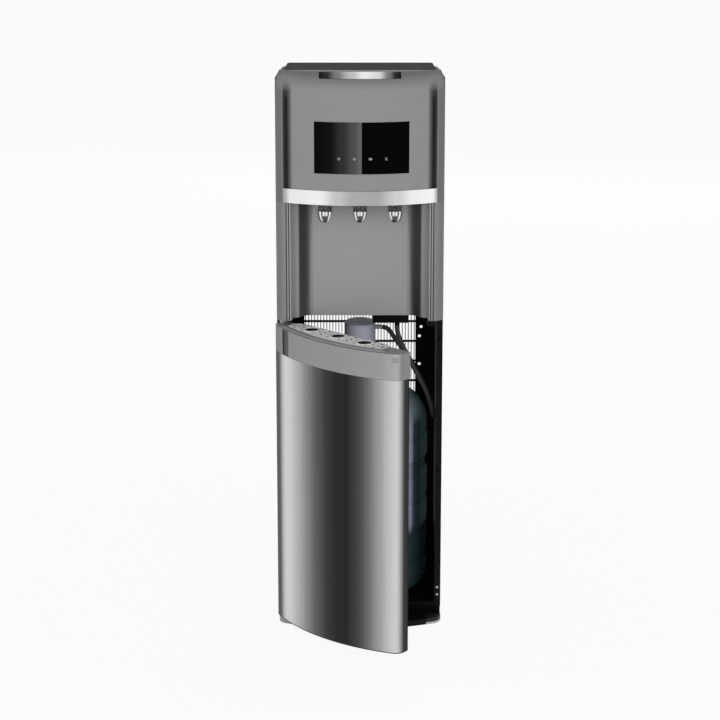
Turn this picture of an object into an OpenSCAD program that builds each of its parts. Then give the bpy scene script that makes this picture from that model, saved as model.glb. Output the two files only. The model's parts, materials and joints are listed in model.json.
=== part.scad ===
// Bottom-loading water dispenser with three taps.
// Origin on the floor at the centre of the base, X to the right, Y to the back, Z up.

/* [Body] */
// Width over the side panels
body_w = 310; // [290:1:340]
// Depth from the crown of the curved front to the rear panel
body_d = 350; // [335:1:380]
// Height of the ridge at the top of the fascia
body_h = 1075; // [1060:1:1120]
// How far the curved front bows out past its sides
front_bulge = 35; // [25:1:45]
// Radius of the two upright front corners
corner_r = 21; // [18:1:24]
// Thickness of the sheet steel panels
sheet_t = 1.2; // [0.8:0.1:1.6]
// Wall of the moulded plastic covers
shell_t = 2.6; // [2:0.1:3]
// Face to face clearance of pieces that fit into each other
fit_gap = 0.4; // [0.2:0.1:0.6]

/* [Base] */
// Height of the base under the door
base_front_h = 12; // [10:1:13]
// Height of the base rim that carries the panels
base_rim_h = 22; // [18:1:30]
// Width of the base rim
base_rim_w = 8.4; // [8:0.1:9]
// Half width of the black part of the base front
base_black_hw = 127; // [115:1:132]
// Thickness of the wall round the hollow underside
base_wall = 7; // [5:1:10]

/* [Door] */
// Bottom edge of the door above the floor
door_z0 = 15; // [14.5:0.5:18]
// Top of the door
door_top = 600; // [590:1:605]
// Height of the moulded housing on top of the door
housing_h = 54; // [50:1:60]
// Thickness of the door at its straight edges
door_edge_t = 27; // [24:1:30]
// Radius of the hinge edge of the door
hinge_edge_r = 13; // [12:0.5:14]
// Angle the door stands open
door_rest = 41; // [0:1:100]
// Thickness of the steel skin
skin_t = 1; // [0.6:0.1:1.4]
// Gap between the door and the front edges of the cabinet
door_gap = 3; // [2.5:0.5:4]
// Radius of the hinge pins
hinge_pin_r = 4; // [3:0.5:5]
// Running clearance round the hinge pins
pin_fit = 0.05; // [0.02:0.01:0.1]
// Length of the hinge pins inside the door
hinge_pin_l = 15; // [10:1:20]

/* [Drip tray] */
// Half width of the drip tray
tray_hw = 116; // [108:1:117]
// Distance of the tray from the front of the door
tray_inset = 9; // [7:1:12]
// Height of the drip tray
tray_h = 45; // [40:1:46]
// Wall of the drip tray
tray_wall = 2.4; // [2:0.1:3]
// Rim of the drip tray round the grille
tray_rim = 1; // [0.6:0.1:1.4]
// Thickness of the lip by which the drip tray lies on the door
lip_t = 4; // [3.5:0.1:5]
// Distance of the lip from the front of the door
lip_inset = 3; // [2:0.5:5]
// Thickness of the grille plate
grille_t = 3; // [2.5:0.1:3.5]
// Radius of the large grille holes
grille_hole_r = 13; // [10:1:14]

/* [Alcove] */
// Clear gap over the door
top_gap = 5.5; // [5:0.5:8]
// Height of the alcove
alcove_h = 226.5; // [210:0.5:240]
// Half width of the back panel of the alcove at its bottom
panel_hw = 98.6; // [90:0.1:100]
// Front face of the back panel at its bottom
panel_y = -107; // [-108:0.5:-104]
// How far the back panel leans back to its top
panel_lean = 11; // [6:1:14]
// Half width of the opening between the pillars
pillar_x = 128; // [124:1:132]
// Front face of the pillars
pillar_y = -147; // [-148:0.5:-144]
// Depth of the two upright grooves in each pillar
groove_d = 1.2; // [0.8:0.1:1.5]

/* [Fascia] */
// Height of the bright band
band_h = 27; // [20:1:32]
// Half length of the bright band
band_hw = 142; // [130:1:146]
// How far the band stands proud
band_t = 2; // [1.5:0.1:3]
// Radius of the roll at the top of the front
roll_r = 34; // [28:1:40]
// Radius of the two upper corners seen from the front
crown_r = 16; // [12:1:20]
// Width of the display glass
display_w = 172; // [150:1:190]
// Height of the display glass
display_h = 95; // [80:1:105]
// Bottom edge of the display glass
display_z = 891; // [885:1:900]
// Sideways offset of the display glass
display_x = 3; // [-4:1:4]
// Thickness of the display glass
glass_t = 1.9; // [1.5:0.1:2]
// Half length of the bright strip on the roll
strip_hw = 74; // [60:1:90]
// Thickness of the bright strip
strip_t = 1.2; // [1:0.1:2]

/* [Lid] */
// Slope of the lid down to the back
lid_slope = 7.6; // [6:0.1:9]
// Height of the lid's skirt
lid_skirt = 26; // [22:1:30]
// Radius along the upper edges of the lid
lid_r = 13; // [10:1:16]

/* [Taps] */
// Distance between neighbouring taps
tap_pitch = 64; // [60:1:68]
// Distance of the taps from the middle of the body
tap_y = -147; // [-150:1:-145]
// Radius of the tap cup
tap_r = 13.5; // [11:0.5:15]
// Radius of the water way
tap_bore_r = 4; // [3:0.5:5]
// Height of the nozzle below the alcove ceiling
tap_drop = 40; // [34:1:46]
// Radius of the tap stem
stem_r = 9; // [8:0.5:10]

/* [Bottle] */
// Radius of the bottle
bottle_r = 132; // [125:1:133]
// Height of the bottle
bottle_h = 500; // [480:1:505]
// Distance of the bottle axis behind the middle
bottle_y = 28; // [26:1:30]
// Wall of the bottle
bottle_t = 1.2; // [0.8:0.1:2]
// Radius of the bottle neck
neck_r = 27; // [25:0.5:28]
// Radius of the bottle cap
cap_r = 30; // [29:0.5:34]
// Height of the bottle cap
cap_h = 78; // [60:1:80]
// Radius of the probe tube in the bottle
probe_r = 6; // [5:0.5:7]
// Diameter of the suction hose
hose_d = 9; // [8:0.5:10]

/* [Condenser] */
// Number of condenser tube rows
row_n = 12; // [10:1:12]
// Distance between the tube rows
row_pitch = 41; // [38:1:41]
// Height of the lowest tube row
row_z0 = 100; // [90:1:110]
// Radius of the condenser tube
tube_r = 2.4; // [2:0.1:3]
// Half length of a straight tube row
row_hw = 125; // [120:1:126]
// Radius of a condenser wire
wire_r = 0.8; // [0.6:0.1:1]
// Distance between the wires
wire_pitch = 6; // [5:0.5:8]

/* [Cooling and heating] */
// Radius of the compressor
compressor_r = 62; // [55:1:65]
// Height of the compressor shell
compressor_h = 120; // [100:1:130]
// Radius of the hot tank
hot_r = 44; // [40:1:48]
// Height of the hot tank
hot_h = 150; // [120:1:160]
// Radius of the cold tank
cold_r = 60; // [50:1:64]
// Height of the cold tank
cold_h = 165; // [140:1:175]
// Foam round the cold tank
foam_t = 18; // [12:1:18]
// Height of the shelf that carries the cold tank
shelf_z = 800; // [790:1:810]

/* [Rear fittings] */
// Width of a rocker switch
rocker_w = 12; // [10:0.5:14]
// Half length of a rocker switch
rocker_hl = 10; // [9:0.5:11]
// Angle a rocker tips through
rocker_tip = 20; // [16:1:24]
// Radius of the axle of a rocker
rocker_axle_r = 1.2; // [1:0.1:1.5]
// Radius of a drain plug
drain_r = 10; // [8:1:12]

/* [Hidden] */
$fn = 72;

// A cut reaches this far past the face it opens
cut = 1;
hw = body_w / 2;
front_y = -body_d / 2;
rear_y = body_d / 2;
arc_r = (hw * hw + front_bulge * front_bulge) / (2 * front_bulge);
arc_y = front_y + arc_r;
corner_x = hw - corner_r;
corner_y = arc_y - sqrt(pow(arc_r - corner_r, 2) - pow(corner_x, 2));
// Places measured back from the shoulders of the curved front
shoulder_y = front_y + front_bulge;
door_back_y = shoulder_y + door_edge_t;
cabin_y = door_back_y + door_gap;
pivot_x = -(hw - hinge_edge_r);
pivot_y = door_back_y - hinge_edge_r;
panel_in = hw - sheet_t;
rear_in = rear_y - sheet_t;
alcove_z = door_top + top_gap;
band_z = alcove_z + alcove_h;
fascia_z = band_z;
lid_y = front_y + roll_r + 4;
lid_z = body_h - 1.5;
deck_t = 1.5;
deck_z = alcove_z + deck_t;
liner_t = 2;
liner_x = hw - 6;
flange_x = 110;
pan_h = 18;
seat_z = base_front_h + pan_h - 3;
housing_z = door_top - housing_h;
housing_top = door_top - lip_t;
tray_z = door_top - grille_t - tray_h;
tray_back_y = door_back_y - shell_t - fit_gap;
cove_y = -124.5;
cove_slope = 0.9;
cove_x = panel_hw + (panel_y - cove_y) / cove_slope;
tap_xs = [-tap_pitch, 0, tap_pitch];
plate_t = 3;
condenser_y = rear_y + 9;
wire_gap = 0.15;
plate_y = rear_in - 9;
pump_h = 28.5;
cap_top = seat_z + bottle_h + 29;
barb_z = cap_top - 12;
lid_rear_z = lid_z - (rear_y - lid_y) * tan(lid_slope);

// Route of the suction hose from the cap's barb to the pump's inlet
HOSE = [[42, 28, 544], [52, 27.5, 541], [64, 24, 527], [78, 18, 508], [94, 12, 487], [110, 8, 461],
  [124, 5, 434], [134, 0, 411], [139, -9, 395], [141, -21, 386], [141.5, -34, 383], [141, -46, 388],
  [139, -56, 400], [134, -63, 421], [125, -66, 446], [112, -66, 472], [98, -63, 498],
  [85, -59, 523], [75, -55, 545], [70.5, -51, 562], [70, -50, 570]];

// Outline of the body from above, drawn in by e
module plan(e = 0) {
  difference() {
    intersection() {
      translate([0, arc_y]) circle(r = arc_r - e, $fn = 240);
      translate([e - hw, front_y - cut]) square([body_w - 2 * e, body_d + cut - e]);
    }
    for (s = [-1, 1]) scale([s, 1]) corner_cut(e);
  }
}

module corner_cut(e) {
  ux = corner_x / (arc_r - corner_r);
  uy = (corner_y - arc_y) / (arc_r - corner_r);
  difference() {
    polygon([[corner_x, corner_y], [hw + 40, corner_y], [hw + 40, corner_y - 60],
      [corner_x + 60 * ux, corner_y + 60 * uy]]);
    translate([corner_x, corner_y]) circle(r = corner_r - e);
  }
}

// A slab of the outline between two heights and two depths
module plan_slab(z0, z1, y0, y1, e = 0, x1 = 400) {
  translate([0, 0, z0]) linear_extrude(z1 - z0) intersection() {
    plan(e);
    translate([-x1, y0]) square([2 * x1, y1 - y0]);
  }
}

// A block given by its two corners
module block(a, b) {
  translate(a) cube([for (i = [0:2]) b[i] - a[i]]);
}

// An outline in Y and Z carried along X
module along_x(x0, x1) {
  translate([x0, 0, 0]) rotate([90, 0, 90]) linear_extrude(x1 - x0) children();
}

// An outline in X and Z carried along Y
module along_y(y0, y1) {
  translate([0, y1, 0]) rotate([90, 0, 0]) linear_extrude(y1 - y0) children();
}

module rod(p, r, l, dir) {
  translate(p) rotate(dir == "x" ? [0, 90, 0] : dir == "y" ? [-90, 0, 0] : [0, 0, 0])
    cylinder(r = r, h = l);
}

// Places its children at the door's standing angle
module door_pose() {
  translate([pivot_x, pivot_y, 0]) rotate(-door_rest) translate([-pivot_x, -pivot_y, 0]) children();
}

module base_plinth() {
  color("#26282b") difference() {
    union() {
      plan_slab(0, base_front_h, front_y - cut, rear_in, 0.6);
      plan_slab(base_front_h, base_rim_h, cabin_y, rear_in, 0.6);
    }
    plan_slab(-cut, base_front_h - 3, front_y - cut, rear_in - base_wall, base_wall + 0.6);
    block([-hw + base_rim_w + 0.6, cabin_y - cut, base_front_h],
      [hw - base_rim_w - 0.6, rear_in - base_rim_w, base_rim_h + cut]);
    for (s = [-1, 1]) foot_region(s, cut);
    translate([pivot_x, pivot_y, -cut]) cylinder(r = hinge_pin_r, h = base_front_h + 2 * cut);
  }
}

module foot_region(s, over = 0) {
  x0 = s > 0 ? base_black_hw : -hw - cut;
  x1 = s > 0 ? hw + cut : -base_black_hw;
  block([x0, front_y, -over], [x1, door_back_y - 10, base_front_h + over]);
}

module foot_caps() {
  color("#8f8f8f") for (s = [-1, 1]) difference() {
    intersection() {
      plan_slab(0, base_front_h, front_y - cut, rear_in);
      foot_region(s);
    }
    translate([pivot_x, pivot_y, -cut])
      cylinder(r = hinge_pin_r + fit_gap, h = base_front_h + 2 * cut);
  }
}

module base_pan() {
  x = hw - base_rim_w - 0.6 - fit_gap;
  y1 = rear_in - base_rim_w - fit_gap;
  z1 = base_front_h + pan_h;
  color("#1d1e20") difference() {
    block([-x, cabin_y + 1.5, base_front_h], [x, y1, z1]);
    block([-x + 3, cabin_y + 4.5, base_front_h - cut], [x - 3, y1 - 3, z1 - 6]);
    translate([0, bottle_y, seat_z]) cylinder(r = bottle_r + 2.5, h = pan_h, $fn = 120);
  }
}

module side_panel() {
  front_z = lid_z - (cabin_y - lid_y) * tan(lid_slope) - lid_r;
  back_z = lid_rear_z - lid_r;
  color("#77797b") {
    along_x(panel_in, hw) polygon([[cabin_y, base_rim_h], [rear_y, base_rim_h], [rear_y, back_z],
      [cabin_y, front_z]]);
    block([hw - 12, cabin_y, base_rim_h], [panel_in + 0.1, cabin_y + sheet_t, alcove_z - 3]);
    block([hw - 12, rear_in, base_rim_h], [panel_in + 0.1, rear_y, back_z - 14]);
  }
}

module right_side_panel() { side_panel(); }

module left_side_panel() {
  difference() {
    mirror([1, 0, 0]) side_panel();
    pipe_hole();
  }
}

// Heights of the holes in the rear flange of a liner
flange_holes = [120, 240, 425, 483, 502];

module liner() {
  color("#161719") difference() {
    union() {
      block([liner_x - liner_t, cabin_y + sheet_t + 0.2, base_rim_h], [liner_x, rear_in, alcove_z]);
      block([flange_x, rear_in - liner_t, base_rim_h], [liner_x, rear_in, alcove_z]);
    }
    for (i = [0:len(flange_holes) - 1])
      rod([i == 4 ? 121.3 : 118, rear_in - liner_t - cut, flange_holes[i]], 3, liner_t + 2 * cut, "y");
  }
}

module right_liner() { liner(); }

module left_liner() { mirror([1, 0, 0]) liner(); }

module rear_sill() {
  color("#161719")
    block([-flange_x + 0.2, rear_in - liner_t, base_rim_h], [flange_x - 0.2, rear_in, 90]);
}

module mid_deck() {
  color("#9a9c9e") difference() {
    block([-panel_in + fit_gap, panel_y + shell_t + 0.2, alcove_z],
      [panel_in - fit_gap, rear_in - sheet_t, deck_z]);
    rod([60, -20, alcove_z - cut], 8, deck_t + 2 * cut, "z");
  }
}

// Opening of the switch plate in the rear panel
plate_x0 = -104;
plate_x1 = -44;
plate_z0 = 670;
plate_z1 = 710;
inlet_x = 74;
inlet_z = 690;
inlet_hw = 15;
inlet_hh = 12;
inlet_pin = 8;
drain_xs = [-20, 20];
drain_z = 650;

module upper_rear_panel() {
  z1 = lid_rear_z - lid_skirt - 1;
  color("#6f7173") difference() {
    block([-panel_in + fit_gap, rear_in - sheet_t, alcove_z], [panel_in - fit_gap, rear_in, z1]);
    block([plate_x0 + 3, rear_in - 2 * sheet_t, plate_z0 + 3],
      [plate_x1 - 3, rear_in + cut, plate_z1 - 3]);
    block([inlet_x - inlet_hw, rear_in - 2 * sheet_t, inlet_z - inlet_hh],
      [inlet_x + inlet_hw, rear_in + cut, inlet_z + inlet_hh]);
    for (x = drain_xs)
      rod([x, rear_in - 2 * sheet_t, drain_z], drain_r - 3 + fit_gap, 4 * sheet_t, "y");
    for (i = [0:11], s = [-1, 1])
      block([s * 45 - 35, rear_in - 2 * sheet_t, 760 + i * 18],
        [s * 45 + 35, rear_in + cut, 765 + i * 18]);
    pipe_hole();
  }
}

// Way of the condenser's pipe through the sheet behind it
module pipe_hole() {
  rod([-row_hw - bend_r, rear_in - 2 * sheet_t, pipe_z], tube_r + fit_gap, 4 * sheet_t, "y");
}

// Space between the pillars, drawn out by e behind its walls
module cup_space(e = 0) {
  side = [[pillar_x + 1.02 * e, front_y - 40], [pillar_x + 1.02 * e, pillar_y],
    [cove_x + 6 + 0.8 * e, cove_y + e], [cove_x + 0.383 * e, cove_y + e],
    [cove_x + 0.383 * e - (44.5 - e) / cove_slope, cove_y + 44.5]];
  intersection() {
    translate([0, 0, alcove_z - cut]) linear_extrude(alcove_h + 2 * cut) polygon(concat(side,
      [for (i = [len(side) - 1:-1:0]) [-side[i][0], side[i][1]]]));
    along_x(-hw, hw) polygon([[front_y - 50, alcove_z - 2 * cut], [panel_y + e, alcove_z - 2 * cut],
      [panel_y + e, alcove_z], [panel_y + e + panel_lean, band_z + 2 * cut],
      [front_y - 50, band_z + 2 * cut]]);
  }
}

module alcove_shell() {
  back = panel_y + panel_lean + shell_t + 1;
  color("#8f8f8f") difference() {
    union() {
      plan_slab(alcove_z, band_z, pillar_y, cabin_y - 2);
      plan_slab(alcove_z, band_z, cabin_y - 3, back, 0, cove_x + 5);
    }
    cup_space();
    difference() {
      plan_slab(alcove_z + shell_t, band_z + cut, pillar_y + shell_t, back + cut, shell_t);
      cup_space(shell_t);
    }
    difference() {
      plan_slab(alcove_z - cut, band_z + cut, panel_y, back + cut, shell_t);
      cup_space(shell_t);
      plan_slab(alcove_z - 2 * cut, band_z + 2 * cut, front_y, cabin_y - 4);
    }
    for (s = [-1, 1], x = [pillar_x + 2.8, pillar_x + 7.4])
      block([s * x - 0.7, pillar_y - cut, alcove_z - cut], [s * x + 0.7, pillar_y + groove_d, band_z + cut]);
  }
}

module tap_plate() {
  color("#3a3b3d") difference() {
    plan_slab(band_z, band_z + plate_t, front_y - cut, panel_y + panel_lean + 3, shell_t + fit_gap);
    for (x = tap_xs) rod([x, tap_y, band_z - cut], stem_r + 0.3, plate_t + 2 * cut, "z");
  }
}

module tap_collars() {
  color("#3c3d3f") for (x = tap_xs) translate([x, tap_y, 0]) rotate_extrude()
    polygon([[stem_r + 0.3, band_z - 15], [tap_r - 1.5, band_z - 15], [tap_r - 0.5, band_z - 8],
      [tap_r - 0.5, band_z], [stem_r + 0.3, band_z]]);
}

module tap(x) {
  z0 = band_z - tap_drop;
  color("#c9cbcd") translate([x, tap_y, 0]) rotate_extrude()
    polygon([[tap_bore_r, z0], [6.5, z0], [6.5, z0 + 5], [tap_r - 2, z0 + 7.5], [tap_r, z0 + 14],
      [tap_r, band_z - 15.3], [stem_r, band_z - 15.3], [stem_r, band_z + 15], [tap_bore_r, band_z + 15]]);
}

module hot_tap() { tap(tap_xs[0]); }

module ambient_tap() { tap(tap_xs[1]); }

module cold_tap() { tap(tap_xs[2]); }

module chrome_band() {
  color("#d5d7d8") difference() {
    plan_slab(band_z, band_z + band_h, front_y - 10, cabin_y, -band_t, band_hw);
    plan_slab(band_z - cut, band_z + band_h + cut, front_y - 10, cabin_y + cut, -0.1);
  }
}

// The rounded form of the fascia, drawn in by e
module fascia_form(e, z0, back) {
  intersection() {
    plan_slab(z0, body_h + cut, front_y - cut, back, e);
    along_x(-hw - cut, hw + cut) difference() {
      translate([front_y - 5, z0 - cut]) square([body_d, body_h - e - z0 + cut]);
      difference() {
        translate([front_y - 10, body_h - roll_r]) square([10 + roll_r, roll_r + 10]);
        translate([front_y + roll_r, body_h - roll_r]) circle(r = roll_r - e);
      }
    }
    along_y(front_y - 20, rear_y) difference() {
      translate([e - hw, z0 - cut]) square([body_w - 2 * e, body_h - e - z0 + cut]);
      for (s = [-1, 1]) difference() {
        translate([s > 0 ? hw - crown_r : -hw - cut, body_h - crown_r])
          square([crown_r + cut, crown_r + cut]);
        translate([s * (hw - crown_r), body_h - crown_r]) circle(r = crown_r - e);
      }
    }
  }
}

// Cross section of the sunk channel near each side of the fascia
channel_in = hw - 31;
channel_out = hw - 15.5;
channel_y = shoulder_y - 1.5;

module channel_cut(e = 0) {
  intersection() {
    translate([0, 0, band_z + band_h - 4]) linear_extrude(body_h - 20 - band_z - band_h) polygon([
      [channel_in - 1 - e, front_y - 20], [channel_in - e, channel_y - 11.3 + e],
      [channel_in + 6, channel_y - 6 + e],
      [channel_out - 3, channel_y + e], [channel_out - 0.5 + e, channel_y + e],
      [channel_out + e, front_y - 20]]);
    along_x(channel_in - 20, channel_out + 20) polygon([[front_y - 30, band_z - 10],
      [channel_y + 10, band_z - 10], [channel_y + 10, body_h - 48 + e],
      [channel_y + e, body_h - 48 + e], [front_y + 10, body_h - 8 + e], [front_y - 30, body_h - 8 + e]]);
  }
}

module display_box(g, y0, y1) {
  block([display_x - display_w / 2 - g, y0, display_z - g],
    [display_x + display_w / 2 + g, y1, display_z + display_h + g]);
}

module front_fascia() {
  back = cabin_y - 2;
  color("#919191") difference() {
    union() {
      difference() {
        fascia_form(0, fascia_z, back);
        fascia_form(shell_t, fascia_z - 2 * cut, back + cut);
      }
      for (s = [-1, 1]) intersection() {
        fascia_form(0, fascia_z + plate_t + 0.2, back);
        scale([s, 1, 1]) channel_cut(shell_t);
      }
    }
    block([-hw, lid_y - 1, body_h - lid_skirt - 6], [hw, back + cut, body_h + cut]);
    for (s = [-1, 1]) scale([s, 1, 1]) channel_cut();
    display_box(-6, front_y - 10, front_y + 30);
    intersection() {
      display_box(0.5, front_y - 10, front_y + 30);
      difference() {
        plan_slab(fascia_z, body_h, front_y - 5, cabin_y, -5);
        plan_slab(fascia_z - cut, body_h + cut, front_y - 5, cabin_y, glass_t - 0.2);
      }
    }
    block([-strip_hw - fit_gap, front_y - 5, body_h - roll_r], [strip_hw + fit_gap, front_y - 4, body_h]);
  }
}

strip_a0 = 42;
strip_a1 = 73;

module top_chrome_strip() {
  c = [front_y + roll_r, body_h - roll_r];
  color("#d8dadb") along_x(-strip_hw, strip_hw) intersection() {
    translate(c) difference() {
      circle(r = roll_r + strip_t);
      circle(r = roll_r + 0.05);
    }
    polygon([c, c + 60 * [-cos(strip_a0), sin(strip_a0)], c + 60 * [-cos(strip_a1), sin(strip_a1)]]);
  }
}

// The lid before it is hollowed, drawn in by e
module lid_form(e) {
  w = panel_in - fit_gap - e;
  l = rear_in - lid_y + 8;
  intersection() {
    translate([0, lid_y, lid_z]) rotate([-lid_slope, 0, 0]) along_y(-20, l) difference() {
      translate([-w, -lid_skirt - 2 * e]) square([2 * w, lid_skirt + e]);
      for (s = [-1, 1]) difference() {
        translate([s > 0 ? w - lid_r + e : -w - cut, -lid_r]) square([lid_r - e + cut, lid_r + cut]);
        translate([s * (w - lid_r + e), -lid_r]) circle(r = lid_r - e);
      }
    }
    along_x(-hw, hw) difference() {
      translate([lid_y + e, lid_rear_z - 80]) square([rear_in - fit_gap - lid_y - 2 * e, 160]);
      difference() {
        translate([rear_in - lid_r, lid_rear_z - lid_r + 3]) square([lid_r + cut, 40]);
        translate([rear_in - fit_gap - lid_r, lid_rear_z - lid_r + 3]) circle(r = lid_r - e);
      }
    }
  }
}

module top_lid() {
  color("#3b3c3e") difference() {
    lid_form(0);
    lid_form(shell_t);
  }
}

module display_glass() {
  color("#08080a") intersection() {
    display_box(0, front_y - 10, front_y + 40);
    difference() {
      plan_slab(display_z, display_z + display_h, front_y - 5, cabin_y, -0.3);
      plan_slab(display_z - cut, display_z + display_h + cut, front_y - 5, cabin_y, glass_t - 0.3);
    }
  }
}

module display_module() {
  color("#1f4a35") plan_slab(display_z + 6, display_z + display_h - 6, front_y, front_y + 20,
    shell_t + 0.1, 70);
}

mark_xs = [-38.5, -10, 19, 47.5];
mark_z = 919;

module panel_marks() {
  color("#b9bcc0") for (x = mark_xs) intersection() {
    rod([x, front_y - 5, mark_z], 2.6, 30, "y");
    difference() {
      plan_slab(mark_z - 5, mark_z + 5, front_y - 5, cabin_y, -0.6);
      plan_slab(mark_z - 6, mark_z + 6, front_y - 5, cabin_y, -0.32);
    }
  }
}

module solenoid(x) {
  z0 = band_z + 15;
  color("#e8e8e4") {
    block([x - 12, tap_y - 10, z0], [x + 12, tap_y + 12, z0 + 32]);
    rod([x, tap_y + 12, z0 + 16], 10, 26, "y");
  }
}

module hot_solenoid() { solenoid(tap_xs[0]); }

module ambient_solenoid() { solenoid(tap_xs[1]); }

module cold_solenoid() { solenoid(tap_xs[2]); }

foam_x = -5;
foam_y = 35;
foam_hw = cold_r + foam_t;
foam_z0 = shelf_z + deck_t;
foam_z1 = foam_z0 + cold_h + 2 * foam_t;

module tank_shelf() {
  color("#9a9c9e") block([-panel_in + fit_gap, foam_y - foam_hw, shelf_z],
    [panel_in - fit_gap, foam_y + foam_hw, foam_z0]);
}

module cold_tank() {
  color("#c4c7ca") translate([foam_x, foam_y, foam_z0 + foam_t]) difference() {
    cylinder(r = cold_r, h = cold_h);
    translate([0, 0, 1]) cylinder(r = cold_r - 1, h = cold_h - 2);
  }
}

module cold_tank_foam() {
  color("#e9e7df") difference() {
    block([foam_x - foam_hw, foam_y - foam_hw, foam_z0], [foam_x + foam_hw, foam_y + foam_hw, foam_z1]);
    translate([foam_x, foam_y, foam_z0 + foam_t]) cylinder(r = cold_r + 0.3, h = cold_h);
  }
}

hot_x = 85;
hot_y = 85;
jacket_t = 4;

module hot_tank() {
  color("#c4c7ca") translate([hot_x, hot_y, deck_z]) difference() {
    cylinder(r = hot_r, h = hot_h);
    translate([0, 0, 1]) cylinder(r = hot_r - 1, h = hot_h - 2);
  }
}

module hot_tank_jacket() {
  color("#d9d2b8") translate([hot_x, hot_y, deck_z]) difference() {
    cylinder(r = hot_r + 0.3 + jacket_t, h = hot_h);
    translate([0, 0, -cut]) cylinder(r = hot_r + 0.3, h = hot_h + 2 * cut);
  }
}

comp_x = -72;
comp_y = 60;
feet_h = 10;

module compressor() {
  z0 = deck_z + feet_h;
  color("#1b1c1d") {
    block([comp_x - 70, comp_y - 45, z0], [comp_x + 70, comp_y + 45, z0 + 3]);
    translate([comp_x, comp_y, z0 + 3]) rotate_extrude() polygon([[0, 0], [compressor_r - 14, 0],
      [compressor_r, 14], [compressor_r, compressor_h - 30], [compressor_r - 16, compressor_h - 8],
      [compressor_r - 34, compressor_h], [0, compressor_h]]);
  }
}

module compressor_feet() {
  color("#222222") for (sx = [-1, 1], sy = [-1, 1])
    translate([comp_x + sx * 60, comp_y + sy * 36, deck_z]) cylinder(r = 9, h = feet_h);
}

module filter_drier() {
  color("#b46a3c") translate([0, rear_in - sheet_t - 9.4, deck_z]) rotate_extrude()
    polygon([[0, 0], [4, 0], [4, 14], [9, 20], [9, 80], [4, 88], [4, 100], [0, 100]]);
}

module power_board() {
  color("#2d5b3c") block([60, rear_in - sheet_t - 22, shelf_z + 60], [140, rear_in - sheet_t, shelf_z + 150]);
}

pump_x0 = 24;
pump_x1 = 92;

module water_pump() {
  n = HOSE[len(HOSE) - 1];
  color("#141516") difference() {
    union() {
      block([pump_x0, n[1] - 10, alcove_z - pump_h], [pump_x1, n[1] + 70, alcove_z]);
      rod(n, hose_d / 2, alcove_z - pump_h - n[2], "z");
    }
    rod([n[0], n[1], n[2] - cut], 2.5, 12, "z");
  }
}

function row_z(i) = row_z0 + i * row_pitch;
bend_r = 15;
pipe_z = row_z(row_n) + 88;

// One half turn between two tube rows
module half_turn(s, z) {
  translate([s * row_hw, condenser_y, z]) rotate([90, 0, 0]) rotate(s > 0 ? -90 : 90)
    rotate_extrude(angle = 180) translate([row_pitch / 2, 0]) circle(r = tube_r, $fn = 24);
}

module condenser_tubes() {
  top = row_z(row_n - 1);
  color("#1a1a1a") {
    for (i = [0:row_n - 1]) rod([-row_hw, condenser_y, row_z(i)], tube_r, 2 * row_hw, "x");
    for (i = [0:row_n - 2]) half_turn(i % 2 == 0 ? 1 : -1, row_z(i) + row_pitch / 2);
    translate([-row_hw, condenser_y, top + bend_r]) rotate([90, 0, 0]) rotate(180)
      rotate_extrude(angle = 90) translate([bend_r, 0]) circle(r = tube_r, $fn = 24);
    rod([-row_hw - bend_r, condenser_y, top + bend_r], tube_r, pipe_z - top - 2 * bend_r + 6, "z");
    translate([-row_hw - bend_r, condenser_y - 9, pipe_z - 9]) rotate([90, 0, 90])
      rotate_extrude(angle = 90) translate([9, 0]) circle(r = tube_r, $fn = 24);
    rod([-row_hw - bend_r, rear_in - 10, pipe_z], tube_r, condenser_y - 9 - rear_in + 10, "y");
  }
}

module condenser_wires() {
  n = floor((row_hw - 8) / wire_pitch);
  off = tube_r + wire_r + wire_gap;
  color("#101010") for (i = [-n:n], s = [-1, 1])
    rod([i * wire_pitch, condenser_y + s * off, row_z0 - 8], wire_r, (row_n - 1) * row_pitch + 16, "z");
}

module condenser_brackets() {
  color("#2a2b2c") for (i = [0, 1, row_n - 3, row_n - 2]) {
    s = i % 2 == 0 ? 1 : -1;
    x = s * (row_hw + row_pitch / 2 - 1);
    z = row_z(i) + row_pitch / 2;
    block([x - 4, rear_y, z - 8], [x + 4, condenser_y - tube_r - 0.15, z + 8]);
  }
}

module drain_plugs() {
  color("#ececea") for (x = drain_xs) {
    rod([x, rear_in - 12, drain_z], drain_r - 3, 12, "y");
    rod([x, rear_in, drain_z], drain_r, 14, "y");
  }
}

rocker_xs = [-89, -59];
rocker_z = (plate_z0 + plate_z1) / 2;
rocker_y = plate_y + 7.5;

module switch_plate() {
  color("#1a1b1c") difference() {
    union() {
      block([plate_x0, rear_in, plate_z0], [plate_x1, rear_in + 4, plate_z1]);
      block([plate_x0 + 3.3, plate_y, plate_z0 + 3.3], [plate_x1 - 3.3, rear_in + 0.1, plate_z1 - 3.3]);
    }
    for (x = rocker_xs) {
      block([x - rocker_w / 2 - 0.3, plate_y + 2, rocker_z - rocker_hl - 1.5],
        [x + rocker_w / 2 + 0.3, rear_in + 5, rocker_z + rocker_hl + 1.5]);
      rod([x - rocker_w / 2 - 2, rocker_y, rocker_z], rocker_axle_r + pin_fit, rocker_w + 4, "x");
    }
  }
}

// A rocker tipped to its off side
module rocker(x, hue) {
  color(hue) translate([x, rocker_y, rocker_z]) rotate([rocker_tip / 2, 0, 0]) {
    along_x(-rocker_w / 2, rocker_w / 2) polygon([[-4, -3], [0, -rocker_hl], [4.5, -rocker_hl], [3, 0],
      [4.5, rocker_hl], [0, rocker_hl], [-4, 3]]);
    rod([-rocker_w / 2 - 1.5, 0, 0], rocker_axle_r, rocker_w + 3, "x");
  }
}

module hot_switch() { rocker(rocker_xs[0], "#b02020"); }

module cold_switch() { rocker(rocker_xs[1], "#2a7d3a"); }

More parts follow.
